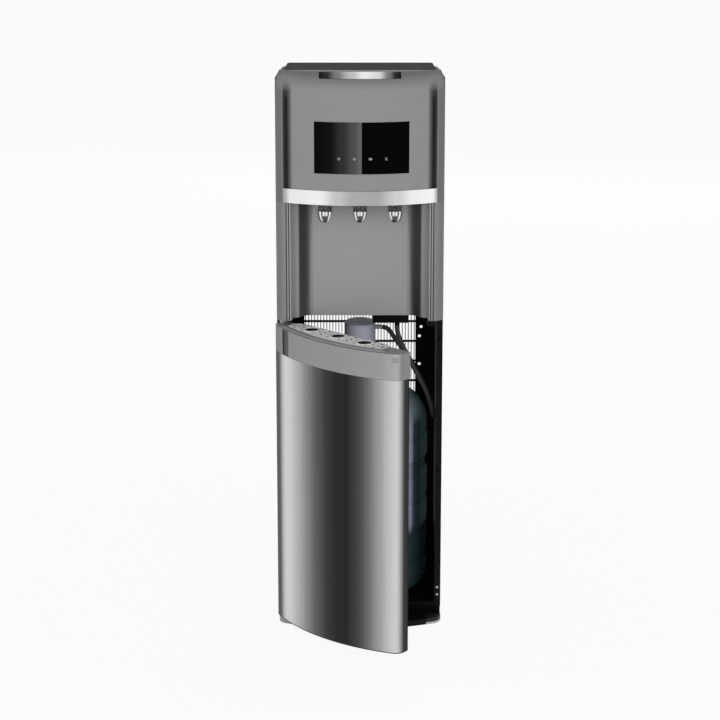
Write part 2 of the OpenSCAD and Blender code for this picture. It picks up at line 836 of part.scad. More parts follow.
module power_inlet() {
  color("#141414") difference() {
    union() {
      block([inlet_x - inlet_hw - 4, rear_in, inlet_z - inlet_hh - 4],
        [inlet_x + inlet_hw + 4, rear_in + 3, inlet_z + inlet_hh + 4]);
      block([inlet_x - inlet_hw + 0.3, rear_in - 24, inlet_z - inlet_hh + 0.3],
        [inlet_x + inlet_hw - 0.3, rear_in + 0.1, inlet_z + inlet_hh - 0.3]);
    }
    difference() {
      block([inlet_x - 12, rear_in - 16, inlet_z - 8.5], [inlet_x + 12, rear_in + 4, inlet_z + 8.5]);
      for (i = [-1:1]) block([inlet_x + i * inlet_pin - 1, rear_in - 17, inlet_z - 2 * abs(i)],
        [inlet_x + i * inlet_pin + 1, rear_in - 2, inlet_z - 2 * abs(i) + 4]);
    }
  }
}

module water_tubes() {
  z0 = band_z + 47;
  z1 = z0 + 30;
  color("#d7e3ea") for (x = tap_xs) {
    rod([x, tap_y, z0], 4, z1 - z0, "z");
    translate([x, tap_y, z1]) sphere(r = 4);
    rod([x, tap_y, z1], 4, foam_y - foam_hw - tap_y, "y");
  }
}

hinge_plate_t = 2.2;
hinge_hw = 12.5;

module upper_hinge() {
  z1 = alcove_z;
  z0 = z1 - hinge_plate_t;
  color("#b5b7b9") {
    block([pivot_x - hinge_hw + 4, pivot_y - hinge_hw + 2, z0],
      [pivot_x + hinge_hw + 2, pivot_y + hinge_hw - 2, z1]);
    rod([pivot_x, pivot_y, housing_top + 0.3], 7, z0 - housing_top - 0.3, "z");
    rod([pivot_x, pivot_y, housing_top - hinge_pin_l], hinge_pin_r, hinge_pin_l + 0.3, "z");
  }
}

module lower_hinge() {
  z0 = base_front_h;
  z1 = z0 + 1.6;
  color("#b5b7b9") {
    block([pivot_x - hinge_hw + 4, pivot_y - hinge_hw + 2, z0],
      [pivot_x + hinge_hw + 2, pivot_y + hinge_hw - 1, z1]);
    rod([pivot_x, pivot_y, z1], 7, door_z0 - 0.3 - z1, "z");
    rod([pivot_x, pivot_y, door_z0 - 0.3], hinge_pin_r, hinge_pin_l + 0.3, "z");
    rod([pivot_x, pivot_y, 2], hinge_pin_r - 0.1, z0 - 2, "z");
  }
}

// Outline of the closed door from above, drawn in by e
module door_plan(e = 0) {
  difference() {
    intersection() {
      plan(e);
      translate([-hw, front_y - cut]) square([body_w, door_back_y - e - front_y + cut]);
    }
    difference() {
      translate([pivot_x - hinge_edge_r - cut, pivot_y])
        square([hinge_edge_r + cut, hinge_edge_r + cut]);
      translate([pivot_x, pivot_y]) circle(r = hinge_edge_r - e);
    }
  }
}

module door_slab(z0, z1, e = 0) {
  translate([0, 0, z0]) linear_extrude(z1 - z0) door_plan(e);
}

door_wall = 2.5;
skin_y = door_back_y - 6;
inner_x0 = -hw + 35;
inner_x1 = hw - 15;

module door_shell() {
  color("#1e1f21") door_pose() difference() {
    door_slab(door_z0, housing_z, skin_t + 0.1);
    difference() {
      door_slab(door_z0 + 3, housing_z - 3, skin_t + door_wall);
      rod([pivot_x, pivot_y, door_z0], 8, hinge_pin_l + 6, "z");
    }
    rod([pivot_x, pivot_y, door_z0 - cut], hinge_pin_r + pin_fit, hinge_pin_l + cut + 1, "z");
    block([inner_x0, door_back_y - 20, door_z0 + 12], [inner_x1, door_back_y + cut, housing_z - 12]);
    block([inner_x0 - 5, door_back_y - skin_t - 1.6, door_z0 + 7],
      [inner_x1 + 5, door_back_y + cut, housing_z - 7]);
  }
}

module door_inner_panel() {
  color("#2b2c2e") door_pose() difference() {
    block([inner_x0 - 4.6, door_back_y - skin_t - 1.6, door_z0 + 7.4],
      [inner_x1 + 4.6, door_back_y - 0.2, housing_z - 7.4]);
    for (x = [-90:45:90]) block([x - 2, door_back_y - 1, door_z0 + 40], [x + 2, door_back_y, housing_z - 40]);
  }
}

module door_skin() {
  color("#a9abad") door_pose() intersection() {
    difference() {
      door_slab(door_z0 + 0.5, housing_z);
      door_slab(door_z0 - cut, housing_z + cut, skin_t);
    }
    block([-hw - cut, front_y - cut, 0], [hw + cut, skin_y, housing_z]);
  }
}

// Outline of the drip tray from above, drawn out by e
module tray_plan(e = 0) {
  chamfer_y = tray_back_y - 9.5;
  intersection() {
    plan(tray_inset - e);
    polygon([[-tray_hw - e, front_y - 10], [tray_hw + e, front_y - 10], [tray_hw + e, chamfer_y],
      [tray_hw - 10 + e * 0.6, tray_back_y + e], [-tray_hw + 10 - e * 0.6, tray_back_y + e],
      [-tray_hw - e, chamfer_y]]);
  }
}

module tray_slab(z0, z1, e = 0) {
  translate([0, 0, z0]) linear_extrude(z1 - z0) tray_plan(e);
}

// The lip spreads only in front of the pillars, so that the tray lifts past them
module tray_lip() {
  lip_hw = tray_hw + 10;
  translate([0, 0, housing_top]) linear_extrude(lip_t) union() {
    tray_plan();
    intersection() {
      plan(lip_inset);
      translate([-lip_hw, front_y]) square([2 * lip_hw, pillar_y - 2 - front_y]);
    }
  }
}

module door_housing() {
  color("#939393") door_pose() difference() {
    door_slab(housing_z, housing_top);
    tray_slab(tray_z, door_top, fit_gap);
    difference() {
      door_slab(housing_z - cut, housing_top - shell_t, shell_t);
      tray_slab(housing_z - 2 * cut, door_top, tray_inset - 2);
      rod([pivot_x, pivot_y, housing_z], 8, housing_h, "z");
    }
    tray_slab(housing_z - cut, tray_z - shell_t, -shell_t);
    rod([pivot_x, pivot_y, housing_top - hinge_pin_l - 1], hinge_pin_r + pin_fit, hinge_pin_l + 2,
      "z");
  }
}

module drip_tray() {
  color("#5d5f61") door_pose() difference() {
    union() {
      tray_slab(tray_z, door_top);
      tray_lip();
    }
    tray_slab(tray_z + tray_wall, door_top, -tray_wall);
    tray_slab(door_top - grille_t, door_top + cut, -tray_rim);
  }
}

grille_y = tray_back_y - 18;

module drip_grille() {
  z0 = door_top - grille_t;
  slot_x = tray_hw - 9;
  color("#b4b6b8") door_pose() difference() {
    union() {
      tray_slab(z0, door_top, -tray_rim - fit_gap);
      for (x = tap_xs) rod([x, grille_y, z0], grille_hole_r + 3, grille_t + 1, "z");
    }
    for (x = tap_xs) {
      rod([x, grille_y, z0 - cut], grille_hole_r, grille_t + 3, "z");
      for (k = [0:7]) if (k % 4 != 2) rotate_about([x, grille_y], k * 45)
        rod([x + grille_hole_r + 6.5, grille_y, z0 - cut], 1.9, grille_t + 3, "z");
    }
    for (x = [-1.5, -0.5, 0.5, 1.5], y = [-12, 0, 12])
      rod([x * tap_pitch, grille_y + y, z0 - cut], 2.2, grille_t + 3, "z");
    for (s = [-1, 1])
      block([s * slot_x - 1.5, grille_y - 6, z0 - cut], [s * slot_x + 1.5, grille_y + 6, door_top + 2]);
  }
}

module rotate_about(p, a) {
  translate(p) rotate(a) translate(-p) children();
}

magnet_x = hw - 21;

module magnet_catch() {
  color("#e6e6e2")
    block([magnet_x - 8, door_back_y + 1, alcove_z - 20], [magnet_x + 8, door_back_y + 17, alcove_z]);
}

module strike_plate() {
  color("#9b9d9f") door_pose() block([magnet_x - 9, door_back_y, alcove_z - 21],
    [magnet_x + 9, door_back_y + 0.8, housing_top - 1]);
}

// Outside of the bottle as radius and height above its seat. The ribs share the straight body
shoulder_z = bottle_h - 196;
bottle_ribs = [for (p = [[14, 0], [5, 9], [0, 26], [0, 52], [4, 58], [4, 64], [0, 70], [0, 112], [4, 118],
  [4, 124], [0, 130], [0, 172], [4, 178], [4, 184], [0, 190], [0, 232], [5, 239], [5, 262], [0, 269],
  [0, 304]]) [bottle_r - p[0], p[1] * shoulder_z / 304]];
bottle_shoulder = [for (p = [[bottle_r - 4, 5], [bottle_r - 4, 11], [bottle_r - 1, 17], [bottle_r - 2, 38],
  [bottle_r - 8, 54], [bottle_r - 18, 70], [bottle_r - 34, 84], [74, 102], [52, 120], [38, 134],
  [neck_r + 3, 139], [neck_r, 145], [neck_r, 196]]) [p[0], shoulder_z + p[1]]];

module water_bottle() {
  outside = concat(bottle_ribs, bottle_shoulder);
  inside = [for (p = outside) [p[0] - bottle_t,
    max(p[1], bottle_t) - (p[1] > shoulder_z + 46 && p[1] < bottle_h - 20 ? bottle_t : 0)]];
  color("#7d8fa3", 0.6) translate([0, bottle_y, seat_z]) rotate_extrude($fn = 96)
    polygon(concat([[0, 0]], outside, [for (i = [len(inside) - 1:-1:0]) inside[i]], [[0, bottle_t]]));
}

module bottle_cap() {
  z0 = cap_top - cap_h;
  color("#8b93a8") difference() {
    translate([0, bottle_y, 0]) rotate_extrude() polygon([[neck_r + 0.3, z0], [cap_r, z0],
      [cap_r, cap_top - 3], [cap_r - 3, cap_top], [probe_r + 0.2, cap_top],
      [probe_r + 0.2, cap_top - 29 + 0.3], [neck_r + 0.3, cap_top - 29 + 0.3]]);
    rod([0, bottle_y, barb_z], hose_d / 2 + 0.2, cap_r + 5, "x");
  }
}

module probe_tube() {
  tip = HOSE[0];
  color("#c9ccd0") difference() {
    union() {
      rod([0, bottle_y, seat_z + 9], probe_r, cap_top - seat_z - 9, "z");
      rod([0, bottle_y, barb_z], hose_d / 2, tip[0], "x");
    }
    rod([0, bottle_y, seat_z + 8], probe_r - 2, barb_z - seat_z - 8, "z");
    rod([0, bottle_y, barb_z], 2.5, tip[0] + cut, "x");
  }
}

// A round tube of n sides swept along a list of points
function unit(v) = v / norm(v);
function tangent(p, i) = unit(p[min(i + 1, len(p) - 1)] - p[max(i - 1, 0)]);
function carried(p, i, u) = i == 0 ? unit(u - (u * tangent(p, 0)) * tangent(p, 0)) :
  let (v = carried(p, i - 1, u), t = tangent(p, i)) unit(v - (v * t) * t);

module swept_tube(p, r, n, u) {
  rings = [for (i = [0:len(p) - 1]) let (t = i == 0 ? unit([1, 0, 0]) :
    i == len(p) - 1 ? [0, 0, 1] : tangent(p, i), a0 = carried(p, i, u), a = unit(a0 - (a0 * t) * t),
    b = cross(t, a)) [for (k = [0:n - 1]) p[i] + r * (cos(k * 360 / n) * a + sin(k * 360 / n) * b)]];
  polyhedron([for (ring = rings, q = ring) q], concat(
    [[for (k = [0:n - 1]) k]], [[for (k = [n - 1:-1:0]) (len(p) - 1) * n + k]],
    [for (i = [0:len(p) - 2], k = [0:n - 1])
      [i * n + k, (i + 1) * n + k, (i + 1) * n + (k + 1) % n]],
    [for (i = [0:len(p) - 2], k = [0:n - 1])
      [i * n + k, (i + 1) * n + (k + 1) % n, i * n + (k + 1) % n]]));
}

module suction_hose() {
  color("#6d7076") swept_tube(HOSE, hose_d / 2, 10, [0, 0, 1]);
}

module panel_screws() {
  color("#8d8f91") {
    for (s = [-1, 1], z = [base_rim_h + 24, base_rim_h + 39, door_top / 2, door_top - 40])
      rod([s * (hw - 6.6), cabin_y - 1.4, z], 2.6, 1.4, "y");
    for (s = [-1, 1], z = [base_rim_h + 18, alcove_z - 275, alcove_z + 15, lid_rear_z - 90])
      rod([s * (hw - 7), rear_y, z], 3, 1.4, "y");
  }
}

base_plinth();
foot_caps();
base_pan();
left_side_panel();
right_side_panel();
left_liner();
right_liner();
rear_sill();
mid_deck();
upper_rear_panel();
alcove_shell();
tap_plate();
tap_collars();
hot_tap();
ambient_tap();
cold_tap();
chrome_band();
front_fascia();
top_chrome_strip();
top_lid();
display_glass();
display_module();
panel_marks();
hot_solenoid();
ambient_solenoid();
cold_solenoid();
tank_shelf();
cold_tank();
cold_tank_foam();
hot_tank();
hot_tank_jacket();
compressor();
compressor_feet();
filter_drier();
power_board();
water_pump();
condenser_tubes();
condenser_wires();
condenser_brackets();
drain_plugs();
switch_plate();
hot_switch();
cold_switch();
power_inlet();
water_tubes();
upper_hinge();
lower_hinge();
door_shell();
door_inner_panel();
door_skin();
door_housing();
drip_tray();
drip_grille();
magnet_catch();
strike_plate();
water_bottle();
bottle_cap();
probe_tube();
suction_hose();
panel_screws();
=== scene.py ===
import json
import math
import bpy
from mathutils import Matrix, Vector


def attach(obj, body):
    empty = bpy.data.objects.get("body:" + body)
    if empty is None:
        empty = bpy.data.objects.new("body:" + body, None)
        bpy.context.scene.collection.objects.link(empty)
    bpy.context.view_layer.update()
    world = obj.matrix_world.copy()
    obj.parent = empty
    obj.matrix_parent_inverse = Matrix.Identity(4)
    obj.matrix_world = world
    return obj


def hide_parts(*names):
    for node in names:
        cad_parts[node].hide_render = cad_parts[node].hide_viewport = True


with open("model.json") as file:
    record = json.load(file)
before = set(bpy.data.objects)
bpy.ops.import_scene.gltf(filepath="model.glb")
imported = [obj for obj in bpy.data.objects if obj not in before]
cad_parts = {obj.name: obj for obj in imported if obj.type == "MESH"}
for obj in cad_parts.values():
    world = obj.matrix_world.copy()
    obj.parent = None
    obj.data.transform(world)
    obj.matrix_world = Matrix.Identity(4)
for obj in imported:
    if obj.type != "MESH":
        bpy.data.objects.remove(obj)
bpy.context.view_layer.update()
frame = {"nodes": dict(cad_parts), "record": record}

# Looks of the bottom-loading water dispenser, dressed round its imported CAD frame.
# Lengths are metres, in the frame's own axes: front is -Y, up is +Z.

MM = 0.001
frame_nodes = frame["nodes"]
body_of_node = {node: body for body, nodes in frame["record"]["behaviour"]["bodies"].items()
                for node in nodes}

DOOR_HINGE = Vector((-0.142, -0.126, 0.0))
DOOR_OPEN = math.radians(41)
DOOR_HALF = 172                             # mm from the door's middle round the corner to its hem
GRILLE_Y = -0.134
TAP_X, TAP_Y = (-0.064, 0.0, 0.064), -0.147
TAP_SPOTS = [(x, TAP_Y, 0) for x in TAP_X]
FASCIA_FOOT = 0.832                         # height of the fascia's lower edge
GLASS_WINDOW = (-0.0835, 0.0895, 0.8905, 0.9865)    # left, right, low, high
SIGNS_HEIGHT = 0.919
GROOVE_X, GROOVE_Z, GROOVE_SIZE, GROOVE_DEEP = -0.1098, 0.5695, (0.0175, 0.048), 0.0016
SQUARE_AT, SQUARE_SIZE, SQUARE_DEEP = (0.1445, -0.14464, 0.58475), (0.0110, 0.0105), 0.0010
SQUARE_LEAN = math.radians(30)
WHITE = (1, 1, 1, 1)

# How fine the noises are that stand for marks of making and of use
SPARK_GRAIN, FLOW_MOTTLE, HANDLING, BRUSH_LINES = 1500.0, 9.0, 26.0, 520.0

LENS_MM, SENSOR_MM = 130, 36
CAMERA_SPOT, CAMERA_AIM = (0, -4.7815, 1.9473), Vector((0, 0, 0.4854))
HOSE_RADIUS = 0.0045
SUCTION_ROUTE = [
    (0.042, 0.028, 0.544), (0.052, 0.0275, 0.541), (0.064, 0.024, 0.527), (0.078, 0.018, 0.508),
    (0.094, 0.012, 0.487), (0.110, 0.008, 0.461), (0.124, 0.005, 0.434), (0.134, 0.000, 0.411),
    (0.139, -0.009, 0.395), (0.141, -0.021, 0.386), (0.1415, -0.034, 0.383), (0.141, -0.046, 0.388),
    (0.139, -0.056, 0.400), (0.134, -0.063, 0.421), (0.125, -0.066, 0.446), (0.112, -0.066, 0.472),
    (0.098, -0.063, 0.498), (0.085, -0.059, 0.523), (0.075, -0.055, 0.545), (0.0705, -0.051, 0.562),
    (0.070, -0.050, 0.570)]


def deselect_all():
    if bpy.context.object and bpy.context.object.mode != "OBJECT":
        bpy.ops.object.mode_set(mode="OBJECT")
    bpy.ops.object.select_all(action="DESELECT")


def pick(piece):
    deselect_all()
    bpy.context.view_layer.objects.active = piece
    piece.select_set(True)


# ---------------------------------------------------------------- camera

def set_camera():
    lens = bpy.data.cameras.new("front_camera")
    lens.lens = LENS_MM
    lens.sensor_width = SENSOR_MM
    lens.clip_end = 60
    camera = bpy.data.objects.new("front_camera", lens)
    bpy.context.scene.collection.objects.link(camera)
    camera.location = CAMERA_SPOT
    sight = CAMERA_AIM - camera.location
    camera.rotation_euler = sight.to_track_quat("-Z", "Y").to_euler()
    bpy.context.scene.camera = camera


# ---------------------------------------------------------------- finishes

def tone(level, tint=(1, 1, 1)):
    """A grey as the eye reads it, 0 to 255, as the shader's linear colour."""
    return [((level * part / 255 + 0.055) / 1.055) ** 2.4 for part in tint] + [1]


def start_finish(name, rough, metal=0.0, **plain):
    finish = bpy.data.materials.new(name)
    finish.use_nodes = True
    shader = finish.node_tree.nodes["Principled BSDF"]
    shader.inputs["Roughness"].default_value = rough
    shader.inputs["Metallic"].default_value = metal
    for socket, value in plain.items():
        shader.inputs[socket.replace("_", " ")].default_value = value
    return finish, finish.node_tree, shader


def place(tree, stretch=(1, 1, 1), turn=0.0, shift=(0, 0, 0)):
    """Where a point lies on the piece, stretched, turned about the upright or shifted."""
    spot = tree.nodes.new("ShaderNodeTexCoord")
    mapping = tree.nodes.new("ShaderNodeMapping")
    mapping.inputs["Location"].default_value = shift
    mapping.inputs["Rotation"].default_value = (0, 0, turn)
    mapping.inputs["Scale"].default_value = stretch
    tree.links.new(spot.outputs["Object"], mapping.inputs["Vector"])
    return mapping.outputs["Vector"]


def noise(tree, spot, size, detail=3.0):
    cloud = tree.nodes.new("ShaderNodeTexNoise")
    cloud.inputs["Scale"].default_value = size
    cloud.inputs["Detail"].default_value = detail
    tree.links.new(spot, cloud.inputs["Vector"])
    return cloud.outputs["Fac"]


def between(tree, value, low, high, start=0.3, end=0.7):
    """Low where the value is start or less, high from end on; start and end suit a noise."""
    span = tree.nodes.new("ShaderNodeMapRange")
    for socket, number in (("From Min", start), ("From Max", end), ("To Min", low), ("To Max", high)):
        span.inputs[socket].default_value = number
    tree.links.new(value, span.inputs["Value"])
    return span.outputs["Result"]


def feed(tree, socket, value):
    """Links a socket to another node's output, or sets it to a plain value."""
    if isinstance(value, bpy.types.NodeSocket):
        tree.links.new(value, socket)
    else:
        socket.default_value = value


def blend_colours(tree, amount, first, second, way="MIX"):
    mix = tree.nodes.new("ShaderNodeMix")
    mix.data_type = "RGBA"
    mix.blend_type = way
    for number, value in ((0, amount), (6, first), (7, second)):
        feed(tree, mix.inputs[number], value)
    return mix.outputs[2]


def calculate(tree, way, first, second):
    step = tree.nodes.new("ShaderNodeMath")
    step.operation = way
    feed(tree, step.inputs[0], first)
    feed(tree, step.inputs[1], second)
    return step.outputs[0]


def axes(tree, spot):
    """The x, y and z of a place, each on its own."""
    split = tree.nodes.new("ShaderNodeSeparateXYZ")
    tree.links.new(spot, split.inputs["Vector"])
    return split.outputs


def axis_value(tree, axis):
    return axes(tree, place(tree))[axis]


def rise(tree, axis, start, end):
    """0 before start and 1 after end, along one axis."""
    return between(tree, axis_value(tree, axis), 0, 1, start, end)


def colour_stops(tree, value, stops, way="EASE"):
    """A ramp over 0 to 1 through greys 0 to 255 or whole colours."""
    ramp = tree.nodes.new("ShaderNodeValToRGB")
    ramp.color_ramp.interpolation = way
    points = ramp.color_ramp.elements
    while len(points) < len(stops):
        points.new(0.5)
    for point, (where, level) in zip(points, stops):
        point.position = where
        point.color = level if isinstance(level, list) else tone(level)
    tree.links.new(value, ramp.inputs["Fac"])
    return ramp.outputs["Color"]


def raise_grain(tree, shader, height, depth):
    bump = tree.nodes.new("ShaderNodeBump")
    bump.inputs["Distance"].default_value = depth
    bump.inputs["Strength"].default_value = 1.0
    tree.links.new(height, bump.inputs["Height"])
    tree.links.new(bump.outputs["Normal"], shader.inputs["Normal"])


def spark_grain(tree, shader, depth):
    """The fine texture that a spark-eroded mould leaves."""
    raise_grain(tree, shader, noise(tree, place(tree), SPARK_GRAIN, 2), depth)


def mottle(tree, shader, shade, size=FLOW_MOTTLE, low=0.95):
    """The shade, with the slow cloudiness of moulded plastic over it."""
    cloud = blend_colours(tree, noise(tree, place(tree), size, 4), (low, low, low, 1), WHITE)
    tree.links.new(blend_colours(tree, 1.0, shade, cloud, "MULTIPLY"), shader.inputs["Base Color"])


def vary_roughness(tree, shader, size, low, high):
    tree.links.new(between(tree, noise(tree, place(tree), size), low, high), shader.inputs["Roughness"])


def moulded_plastic(name, level, rough=0.34, grain=0.00002, spread=0.05, tint=(1, 1, 1), **plain):
    """Moulded plastic: the mould's fine spark grain, a little flow mottling, handling sheen."""
    finish, tree, shader = start_finish(name, rough, **plain)
    colour = tone(level, tint)
    light = [min(1, part * (1 + spread)) for part in colour[:3]] + [1]
    dark = [part * (1 - spread) for part in colour[:3]] + [1]
    cloud = noise(tree, place(tree), FLOW_MOTTLE, 4)
    tree.links.new(blend_colours(tree, cloud, dark, light), shader.inputs["Base Color"])
    vary_roughness(tree, shader, HANDLING, rough * 0.93, rough * 1.08)
    spark_grain(tree, shader, grain)
    return finish


def metal_sheet(name, level, rough, streak, tint=(1, 1, 1)):
    """Metal with drawn or rolled marks along one way."""
    finish, tree, shader = start_finish(name, rough, 1.0)
    lines = noise(tree, place(tree, streak), 700.0, 2)
    colour = tone(level, tint)
    dark = [part * 0.86 for part in colour[:3]] + [1]
    tree.links.new(blend_colours(tree, lines, dark, colour), shader.inputs["Base Color"])
    vary_roughness(tree, shader, 18.0, rough * 0.8, rough * 1.25)
    raise_grain(tree, shader, lines, 0.000006)
    return finish


def painted_shade_moulding(name, inner, outer, stops, top=None):
    """Grey moulded plastic with painted shade in its grooves, coves and channels and lighter painted groove
    edges: stops run from the middle out.

    top says, in mm of height, where the painted stops fade out, where the crown begins, and the crown's
    grey, a painted shade on the upward-facing roll.
    """
    finish, tree, shader = start_finish(name, 0.34, Specular_IOR_Level=0.35)
    outward = calculate(tree, "ABSOLUTE", axis_value(tree, "X"), 0.0)
    steps = [((distance - inner) / (outer - inner), level) for distance, level in stops]
    # Painted shade in grooves, coves and channels, by distance from the middle
    shade = colour_stops(tree, between(tree, outward, 0, 1, inner * MM, outer * MM), steps)
    if top:
        fade_from, fade_to, crown_from, crown_to, crown = top
        shade = blend_colours(tree, rise(tree, "Z", fade_from * MM, fade_to * MM), shade, tone(stops[0][1]))
        # The roll's crown is painted darker, as in shade
        shade = blend_colours(tree, rise(tree, "Z", crown_from * MM, crown_to * MM), shade, tone(crown))
    mottle(tree, shader, shade)
    vary_roughness(tree, shader, HANDLING, 0.289, 0.408)
    spark_grain(tree, shader, 0.00002)
    return finish


def brush(tree, shader, painted_reflection_bands, streak):
    """Painted reflection with fine drawn lines over it."""
    lines = noise(tree, place(tree, streak), BRUSH_LINES, 2)
    tree.links.new(blend_colours(tree, 0.10, painted_reflection_bands, lines, "OVERLAY"), shader.inputs["Base Color"])
    raise_grain(tree, shader, lines, 0.000004)


def painted_reflection_metal(name, stops, half_width, rough):
    """Bright metal with a painted reflection that runs from dark to light across the piece."""
    finish, tree, shader = start_finish(name, rough, 1.0)
    painted_reflection_bands = colour_stops(tree, rise(tree, "X", -half_width, half_width), stops)
    brush(tree, shader, painted_reflection_bands, (0.02, 0.02, 1))
    vary_roughness(tree, shader, 14.0, rough * 0.85, rough * 1.2)
    return finish


def shut_door_place(tree):
    """Object coordinates turned back to where the door's parts are when it is shut, as x, y, z."""
    turned_hinge = DOOR_HINGE.copy()
    turned_hinge.rotate(Matrix.Rotation(DOOR_OPEN, 3, "Z"))
    return axes(tree, place(tree, turn=DOOR_OPEN, shift=DOOR_HINGE - turned_hinge))


def strip_mask(tree, value, middle, half, blur):
    """1 within half a width of the middle, 0 outside, with soft edges; all in metres."""
    start = between(tree, value, 0, 1, middle - half - blur, middle - half + blur)
    end = between(tree, value, 1, 0, middle + half - blur, middle + half + blur)
    return calculate(tree, "MULTIPLY", start, end)


def door_bands(tree, x, y, stops, way="EASE"):
    """Painted greys, reflection on the steel and shade on the housing, by their distance in mm from the
    door's middle, carried on round both its corners.
    """
    wrap = between(tree, y, 1.0, 1.1, -0.1420, -0.1265)
    around = between(tree, calculate(tree, "MULTIPLY", x, wrap), 0, 1, -DOOR_HALF * MM, DOOR_HALF * MM)
    levels = [((where + DOOR_HALF) / (2 * DOOR_HALF), level) for where, level in stops]
    return colour_stops(tree, around, levels, way)


def door_steel():
    """Brushed stainless door skin: satin lines, a painted reflection that runs light and dark round its
    curve, darker at its hems.
    """
    finish, tree, shader = start_finish("brushed_door_steel_painted_reflection", 0.34, 1.0)
    # Painted reflection round the door's curve: grey by mm from its middle
    stops = [(-160, 52), (-140, 60), (-131, 98), (-122, 180), (-112, 209), (-102, 211), (-86, 197),
             (-57, 159), (-29, 112), (-2, 74), (21, 52), (42, 46), (58, 52), (86, 90), (106, 136),
             (125, 176), (143, 206), (151, 206), (158, 176), (164, 124), (168, 78), (171, 46)]
    x, y, z = shut_door_place(tree)
    painted_reflection_bands = door_bands(tree, x, y, stops, "CARDINAL")
    # Darker along the bottom hem
    hem = between(tree, z, 1, 0, 0.0166, 0.0184)
    brush(tree, shader, blend_colours(tree, hem, painted_reflection_bands, tone(58)), (1, 1, 0.012))
    vary_roughness(tree, shader, 14.0, 0.325, 0.355)
    return finish


def housing_grey():
    """Grey moulding of the door's head: painted shade in the groove by the hinge and in the small recess at
    the free end, and a painted highlight on the rounded free end.
    """
    finish, tree, shader = start_finish("housing_grey_painted_shade", 0.34, Specular_IOR_Level=0.35)
    stops = [(-172, 114), (-140, 130), (-121, 140), (-118.5, 64), (-101, 70), (-97, 156), (-60, 161),
             (60, 160), (118, 163), (136, 174), (148, 182), (152, 172), (159, 145), (165, 137),
             (168, 150), (170, 150), (171.5, 140)]
    x, y, z = shut_door_place(tree)
    shade = door_bands(tree, x, y, stops)
    # Painted shade in the small recess at the free end
    painted_square_shade = calculate(tree, "MULTIPLY", strip_mask(tree, x, SQUARE_AT[0], SQUARE_SIZE[0] / 2, 0.0006),
                       strip_mask(tree, z, SQUARE_AT[2], SQUARE_SIZE[1] / 2, 0.0006))
    shade = blend_colours(tree, calculate(tree, "MULTIPLY", painted_square_shade, 0.28), shade, tone(70))
    upper_face = between(tree, z, 0, 1, 0.5952, 0.5958)
    mottle(tree, shader, blend_colours(tree, upper_face, shade, tone(150)))
    vary_roughness(tree, shader, HANDLING, 0.29, 0.41)
    spark_grain(tree, shader, 0.00002)
    return finish


def two_heights(name, low, high, line, rough=0.36):
    """Moulded plastic, one grey under a height and another above it."""
    finish, tree, shader = start_finish(name, rough, Specular_IOR_Level=0.3)
    step = rise(tree, "Z", line - 0.0002, line + 0.0002)
    mottle(tree, shader, blend_colours(tree, step, tone(low), tone(high)), 12.0, 0.92)
    spark_grain(tree, shader, 0.00003)
    return finish


def screw_steel():
    """Zinc screws; those beside the bay are blackened, except the low pair."""
    finish, tree, shader = start_finish("screw_steel_finish", 0.32, 1.0)
    front = between(tree, axis_value(tree, "Y"), 1, 0, -0.106, -0.104)
    below = between(tree, axis_value(tree, "Z"), 1, 0, 0.62, 0.63)
    beside_bay = calculate(tree, "MULTIPLY", calculate(tree, "MULTIPLY", front, below),
                           rise(tree, "Z", 0.08, 0.09))
    zinc = blend_colours(tree, noise(tree, place(tree), 900.0), tone(140), tone(176))
    tree.links.new(blend_colours(tree, beside_bay, zinc, tone(14)), shader.inputs["Base Color"])
    return finish


def speckled_rubber():
    """Dark ribbed collars with painted glint specks standing for rib tops that catch light; the same specks
    raise a small bump.
    """
    finish, tree, shader = start_finish("speckled_rubber_painted_glints", 0.4, Specular_IOR_Level=0.4)
    glint_and_bump_flecks = noise(tree, place(tree, (1, 1, 1.4)), 430.0, 1)
    tree.links.new(blend_colours(tree, between(tree, glint_and_bump_flecks, 0, 1, 0.5, 0.6), tone(34), tone(112)),
                   shader.inputs["Base Color"])
    raise_grain(tree, shader, glint_and_bump_flecks, 0.0002)
    return finish


def band_chrome():
    # Painted reflection across the band: light towards the ends, grey in the middle
    stops = [(0.0, 120), (0.02, 175), (0.06, 238), (0.24, 246), (0.36, 200), (0.45, 176), (0.60, 172),
             (0.74, 214), (0.84, 244), (0.96, 250), (1.0, 140)]
    return painted_reflection_metal("satin_chrome_band_painted_reflection", stops, 0.144, 0.22)


def roll_strip_chrome_painted_reflection():
    # Painted reflection across the strip: dark at the ends, bright in the middle
    stops = [(0.0, 20), (0.10, 45), (0.22, 120), (0.40, 190), (0.55, 232), (0.72, 215), (0.84, 120),
             (0.93, 40), (1.0, 16)]
    return painted_reflection_metal("roll_strip_chrome_painted_reflection", stops, 0.075, 0.20)


